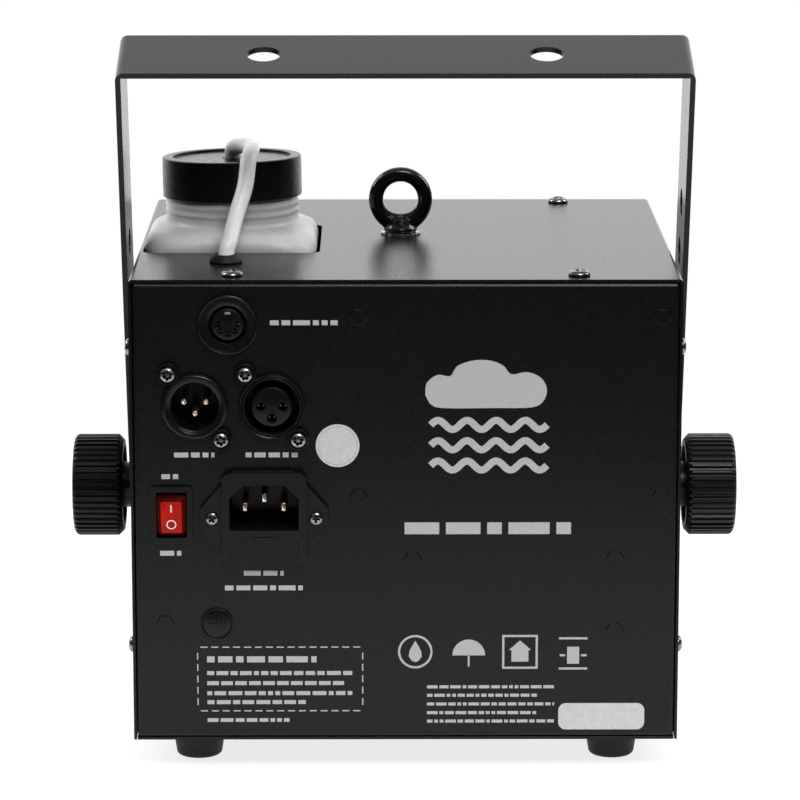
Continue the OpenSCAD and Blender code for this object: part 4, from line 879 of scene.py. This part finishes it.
def make_inlet_tips():
    """The inlet's blades, with rounded tips."""
    bm = bmesh.new()
    for a, b, _ in islands("inlet_pins"):
        width, height = (b.x - a.x) / MM, (b.z - a.z) / MM
        place = Matrix.Translation(((a.x + b.x) / 2, b.y, (a.z + b.z) / 2)) @ UPRIGHT
        rings = []
        for inset, back in ((0.0, b.y - a.y), (0.0, 1.5 * MM), (0.12, 1.0 * MM), (0.45, 0.35 * MM),
                            (0.6, 0.1 * MM), (0.75, 0.0)):
            up = b.y - a.y - back
            shape = rounded_box(width - inset, height - 1.7 * inset, 0.2 + 0.1 * inset)
            rings.append([place @ Vector((x * MM, y * MM, up)) for x, y in shape])
        stack_rings(bm, rings)
    stand_in("inlet_pins_look", bm, "inlet_pins", "gilt_contacts")


# ---------- marks: thin prints ----------

INK_THICK = 0.05


def mark(bm, place, outline):
    """A thin printed shape, in millimetres on a face whose outward axis is local Z."""
    outline_prism(bm, scaled(outline), INK_THICK * MM, place)


def bar(bm, place, x, y, width, height):
    mark(bm, place, [(x + px, y + py) for px, py in rounded_box(width, height, 0.05, 4)])


def ring_mark(bm, place, x, y, outer, band, thick=INK_THICK, steps=48):
    lathe(bm, scaled([(outer - band, 0.0), (outer, 0.0), (outer, thick), (outer - band, thick)]),
          place @ Matrix.Translation((x * MM, y * MM, 0)), steps, wrap=True)


def stroke(bm, place, points, width):
    """A line of constant width through points, with square ends."""
    left, right = [], []
    for i, (x, y) in enumerate(points):
        before, after = points[max(i - 1, 0)], points[min(i + 1, len(points) - 1)]
        dx, dy = after[0] - before[0], after[1] - before[1]
        span = math.hypot(dx, dy)
        nx, ny = -dy / span * width / 2, dx / span * width / 2
        left.append((x + nx, y + ny))
        right.append((x - nx, y - ny))
    rows = []
    for lift in (0.0, INK_THICK * MM):
        rows.append([[bm.verts.new(place @ Vector((x * MM, y * MM, lift))) for x, y in line]
                     for line in (left, right)])
    (ll, lr), (ul, ur) = rows
    for i in range(len(points) - 1):
        bm.faces.new((ul[i], ur[i], ur[i + 1], ul[i + 1]))
        bm.faces.new((ll[i], ll[i + 1], lr[i + 1], lr[i]))
        bm.faces.new((ll[i], ul[i], ul[i + 1], ll[i + 1]))
        bm.faces.new((lr[i], lr[i + 1], ur[i + 1], ur[i]))
    bm.faces.new((ll[0], lr[0], ur[0], ul[0]))
    bm.faces.new((ll[-1], ul[-1], ur[-1], lr[-1]))


def text_line(bm, place, x, y, width, height, seed):
    """A row of small plain blocks that reads as a line of print and says nothing."""
    at, k = x, seed
    while at < x + width:
        k = (k * 37 + 11) % 101
        length = min(height * (1.2 + k % 5 * 0.55), x + width - at)
        if length > height * 0.4:
            bar(bm, place, at + length / 2, y, length, height)
        at += length + height * 0.55


# Print on the connector panel in millimetres: left end, right end and height of each line
TEXT_LINES = ((-48.7, -24.4, 166.5), (-83.6, -69.0, 118.0), (-57.8, -39.0, 118.0),
              (-88.3, -82.2, 110.0), (-89.1, -81.4, 81.5), (-58.8, -44.3, 74.0), (-65.7, -37.4, 68.5))
SMALL_LINES = (31.1, 27.9, 24.6, 21.3, 18.1)
FRAMED_LEFT = -72.5
FRAMED_LINES = ((41.6, 40.0, 2.3), (36.4, 53.0, 1.5), (32.6, 50.0, 1.5), (28.8, 53.0, 1.5),
                (25.4, 36.0, 1.5), (18.6, 30.0, 1.4))  # height, length, letter height
CLOUD = ((7, 140), (7.6, 144.5), (11.5, 147.4), (16, 147), (18.5, 150.6), (24, 152.6), (30, 152.7),
         (35, 150.8), (38, 147.6), (43.5, 148.4), (48.6, 146.3), (50.8, 142), (49.4, 137.6),
         (45, 135.4), (31, 135.2), (14, 135.2), (9.3, 136.4), (7, 140))
ICON_BARS = ((23.0, 41.0, 0.7, 4.4), (41.7, 50.3, 13, 0.8), (41.7, 38.3, 13, 0.8), (35.6, 44.3, 0.8, 11.2),
             (47.8, 44.3, 0.8, 11.2), (61.1, 43.0, 4.4, 6.4), (57.2, 43.0, 2.0, 0.8), (65.0, 43.0, 2.0, 0.8),
             (61.1, 49.4, 10.4, 0.8), (61.1, 38.0, 10.4, 0.8))
DROP = ((3.5, 48.6), (5.6, 44.8), (5.9, 42.7), (4.8, 41.0), (3.5, 40.5), (2.2, 41.0), (1.1, 42.7),
        (1.4, 44.8))
HOUSE = ((41.7, 48.6), (37.6, 45.0), (38.6, 45.0), (38.6, 40.6), (44.8, 40.6), (44.8, 45.0), (45.8, 45.0))


def make_panel_print():
    """Generic print: small bars for text, a cloud over waves, a title bar and simple pictograms."""
    bm = bmesh.new()
    flat = facing_rear(0, 0)
    for number, (x0, x1, z) in enumerate(TEXT_LINES):
        text_line(bm, flat, x0, z, x1 - x0, 1.8, number + 3)
    for number, z in enumerate(SMALL_LINES):
        text_line(bm, flat, 7.8, z, 46.5 - 6 * (number % 2), 1.15, number + 20)
    # Title and pictogram
    text_line(bm, flat, -0.4, 90.7, 62.6, 4.4, 41)
    mark(bm, flat, [(p.x, p.y) for p in smooth_path([(x, z, 0) for x, z in CLOUD], 5)][:-1])
    for row in range(3):
        wave = [(9 + 0.75 * k, 129 - 7.5 * row + 1.7 * math.sin(math.tau * k / 14)) for k in range(57)]
        stroke(bm, flat, wave, 2.6)
    # Dashed frame with plain bars
    for side in (22.1, 46.2):
        for k in range(15):
            bar(bm, flat, -73.6 + 3.98 * k, side, 2.6, 0.45)
    for side in (-75.9, -15.7):
        for k in range(5):
            bar(bm, flat, side, 25.6 + 4.3 * k, 0.45, 2.6)
    for number, (z, length, letter) in enumerate(FRAMED_LINES):
        text_line(bm, flat, FRAMED_LEFT, z, length, letter, number + 51)
    icons(bm, flat)
    piece("panel_print", bm, "case", "label_film", "print_ink", smooth=False)


def icons(bm, flat):
    """Four plain pictograms: drop in a ring, umbrella, house in a square, box with arrows."""
    ring_mark(bm, flat, 3.5, 44.4, 6.3, 0.8)
    mark(bm, flat, DROP)
    mark(bm, flat, arc(23, 43, 6, 0, 180, 12))
    for x, z, width, height in ICON_BARS:
        bar(bm, flat, x, z, width, height)
    mark(bm, flat, HOUSE)


def make_earth_boss():
    """Round pressed boss with a groove and a raised earth symbol lying on its side."""
    at, back = centre("earth_stud"), high("earth_stud").y
    place = facing_rear(at.x, at.z)
    depth = (PANEL_Y - back) / MM
    bm = bmesh.new()
    lathe(bm, scaled([(0.01, depth), (2.0, depth), (2.0, -1.0), (6.0, -1.0), (6.0, 0.45), (5.9, 0.7),
                      (5.65, 0.8), (5.45, 0.7), (5.3, 0.25), (5.1, 0.25), (4.95, 0.6), (4.7, 0.7),
                      (0.01, 0.72)]), place, 72)
    for x, width, height in ((-2.1, 2.6, 0.7), (-0.15, 0.7, 5.0), (1.6, 0.65, 3.8), (3.2, 0.6, 2.6)):
        raised = place @ Matrix.Translation((x * MM, 0, 0.65 * MM))
        outline_prism(bm, scaled(rounded_box(width, height, 0.2)), 0.5 * MM, raised, 0.15 * MM)
    stand_in("earth_look", bm, "earth_stud", "powder_fine")


STUD_RADIUS = 3.4 * MM
STUD_STEP = 0.45 * MM    # how far the painted hexagon stands out of the panel
STUD_BEVEL = 0.35 * MM


def make_stud_marks():
    """Hexagon heads of the pressed-in studs, painted over with the panel."""
    bm = bmesh.new()
    hexagon = [(STUD_RADIUS * math.cos(t), STUD_RADIUS * math.sin(t)) for t in full_turn(6)]
    for a, b, _ in islands("panel_studs"):
        deep = b.y - PANEL_Y
        place = facing_rear((a.x + b.x) / 2, (a.z + b.z) / 2, -deep)
        outline_prism(bm, hexagon, deep + STUD_STEP, place, STUD_BEVEL)
    stand_in("stud_marks", bm, "panel_studs", "powder_fine", smooth=False)


def make_sticker_rings():
    """A fine line round the round sticker."""
    a, b, _ = max(islands("blank_labels"), key=lambda box: box[1].z)
    middle = (a + b) / 2
    face = Matrix.Translation((middle.x, a.y, middle.z)) @ UPRIGHT
    bm = bmesh.new()
    ring_mark(bm, face, 0, 0, (b.x - a.x) / 2 / MM - 0.7, 0.35, 0.03, 64)
    piece("sticker_line", bm, "case", "label_film", "print_ink")


# ---------- rocker and spring ----------

ROCKER_LEAN = math.radians(9)
ROCKER_LAYERS = ((10.0, 14.2, 1.2, -4.0), (10.5, 14.9, 1.3, -1.5), (10.45, 14.8, 1.5, -0.9),
                 (9.9, 14.3, 1.6, -0.35), (8.9, 13.5, 1.4, 0.1), (7.9, 12.5, 1.1, 0.5),
                 (7.6, 12.2, 1.0, 0.58))  # width, height, corner radius, height above the tilted face


def make_rocker():
    """Red rocker: bulged sides, sunk bright face and white marks, riding on the rocker body."""
    at = centre("switch_rocker")
    front = Matrix.Translation((at.x, low("switch_rocker").y + 1.3 * MM, at.z)) \
        @ UPRIGHT @ Matrix.Rotation(ROCKER_LEAN, 4, "X")
    rings = []
    for width, height, radius, up in ROCKER_LAYERS:
        outline = rounded_box(width, height, radius)
        rings.append([front @ Vector((x * MM, y * MM, up * MM)) for x, y in outline])
    bm = bmesh.new()
    stack_rings(bm, rings)
    # The rocker's body, sides included, takes the darker red: painted shade.
    piece("rocker_look", bm, "rocker", "red_rocker", "red_side_shade", ["switch_rocker"])
    window = bmesh.new()
    outline_prism(window, scaled(rounded_box(7.5, 12.1, 0.7)), 0.16 * MM,
                  front @ Matrix.Translation((0, 0, 0.58 * MM)), 0.1 * MM)
    piece("rocker_face", window, "rocker", "red_rocker")
    marks = bmesh.new()
    face = front @ Matrix.Translation((0, 0, 0.73 * MM))
    bar(marks, face, 0, 3.35, 0.5, 2.9)
    ring_mark(marks, face, 0, -2.8, 1.8, 0.42)
    piece("rocker_marks", marks, "rocker", "label_film", "mark_ink")


def make_spring():
    """The pump's return spring, on a mesh of its own; the real spring shortens as the plunger rises."""
    bm = bmesh.new()
    bm.from_mesh(NODES["pump_spring"].data)
    spring = stand_in("spring_look", bm, "pump_spring")
    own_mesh(spring)


make_screws()
make_bottle()
make_cap()
make_tube()
make_grommet()
make_eyebolt()
make_xlr_in()
make_xlr_out()
make_din()
make_inlet_shade_sheet()
make_inlet_tips()
make_panel_print()
make_earth_boss()
make_stud_marks()
make_sticker_rings()
make_rocker()
make_spring()


# ---------- studio ----------

CAMERA_PLACE = (-0.0084, -1.458, 0.4212)
CAMERA_PITCH, CAMERA_YAW = 11.73, 0.266   # degrees down and to the right
CAMERA_LENS, SENSOR = 174.07, 36.0        # millimetres
FLOOR_RADIUS, FLOOR_Z = 0.5, -0.2 * MM
FLOOR_GLOW = 0.8
# Smooth steps of the room's light along depth and height: from, to, value before, value after
ROOM_DEPTH = (0.3, 1.0, 0.05, 1.55)
ROOM_HEIGHT = (0.3, 1.0, 0.0, 0.35)
LIGHT_TARGET = (0, 0, 0.15)
LIGHTS = (("key_softbox", (0.25, -0.95, 1.25), 0.6, 0.6, 12),
          ("left_strip", (-1.2, 0.3, 1.0), 0.25, 0.8, 7),
          ("right_strip", (1.2, 0.3, 1.0), 0.25, 0.8, 7))  # place in metres, width, height, watts


def make_camera():
    data = bpy.data.cameras.new("camera")
    data.sensor_width = SENSOR
    data.lens = CAMERA_LENS
    data.clip_start = 0.01
    cam = add_object("camera", data)
    cam.location = CAMERA_PLACE
    cam.rotation_euler = (math.radians(90 - CAMERA_PITCH), 0, math.radians(-CAMERA_YAW))
    bpy.context.scene.camera = cam


def area_light(name, place, width, height, power):
    data = bpy.data.lights.new(name, "AREA")
    data.shape = "RECTANGLE"
    data.size = width
    data.size_y = height
    data.energy = power
    lamp = add_object(name, data)
    lamp.location = place
    aim = Vector(LIGHT_TARGET) - Vector(place)
    lamp.rotation_euler = aim.to_track_quat("-Z", "Y").to_euler()


def make_floor():
    """A white table top, just wide enough to catch the shadow."""
    bm = bmesh.new()
    bm.faces.new([bm.verts.new(p) for p in round_ring(Matrix.Identity(4), FLOOR_RADIUS, FLOOR_Z, 96)])
    floor = as_object("studio_floor", bm)
    mat = new_material("studio_floor", (0.4, 0.4, 0.4), 0.8)
    shade(mat, (0.39, 0.39, 0.39), (0.41, 0.41, 0.41), 3)
    shader_of(mat).inputs["Emission Color"].default_value = (1, 1, 1, 1)
    shader_of(mat).inputs["Emission Strength"].default_value = FLOOR_GLOW
    floor.data.materials.append(mat)


def world_ramp(tree, source, low_at, high_at, low_value, high_value):
    span = tree.nodes.new("ShaderNodeMapRange")
    span.interpolation_type = "SMOOTHSTEP"
    keys = ("From Min", "From Max", "To Min", "To Max")
    for key, value in zip(keys, (low_at, high_at, low_value, high_value)):
        span.inputs[key].default_value = value
    tree.links.new(source, span.inputs["Value"])
    return span.outputs["Result"]


def make_world():
    """A white room, dark on the camera's side, so that the black panel stays black."""
    world = bpy.data.worlds.new("studio")
    bpy.context.scene.world = world
    world.use_nodes = True
    tree = world.node_tree
    glow = tree.nodes["Background"]
    glow.inputs["Color"].default_value = (1, 1, 1, 1)
    white = tree.nodes.new("ShaderNodeBackground")
    white.inputs["Color"].default_value = (1, 1, 1, 1)
    white.inputs["Strength"].default_value = 1.0
    coords = tree.nodes.new("ShaderNodeTexCoord")
    parts = tree.nodes.new("ShaderNodeSeparateXYZ")
    tree.links.new(coords.outputs["Generated"], parts.inputs["Vector"])
    depth = world_ramp(tree, parts.outputs["Y"], *ROOM_DEPTH)
    height = world_ramp(tree, parts.outputs["Z"], *ROOM_HEIGHT)
    total = tree.nodes.new("ShaderNodeMath")
    total.operation = "ADD"
    tree.links.new(depth, total.inputs[0])
    tree.links.new(height, total.inputs[1])
    tree.links.new(total.outputs[0], glow.inputs["Strength"])
    path = tree.nodes.new("ShaderNodeLightPath")
    mix = tree.nodes.new("ShaderNodeMixShader")
    tree.links.new(path.outputs["Is Camera Ray"], mix.inputs["Fac"])
    tree.links.new(glow.outputs[0], mix.inputs[1])
    tree.links.new(white.outputs[0], mix.inputs[2])
    tree.links.new(mix.outputs[0], tree.nodes["World Output"].inputs["Surface"])


make_camera()
make_floor()
make_world()
for light in LIGHTS:
    area_light(*light)
bpy.context.scene.view_settings.view_transform = "Standard"
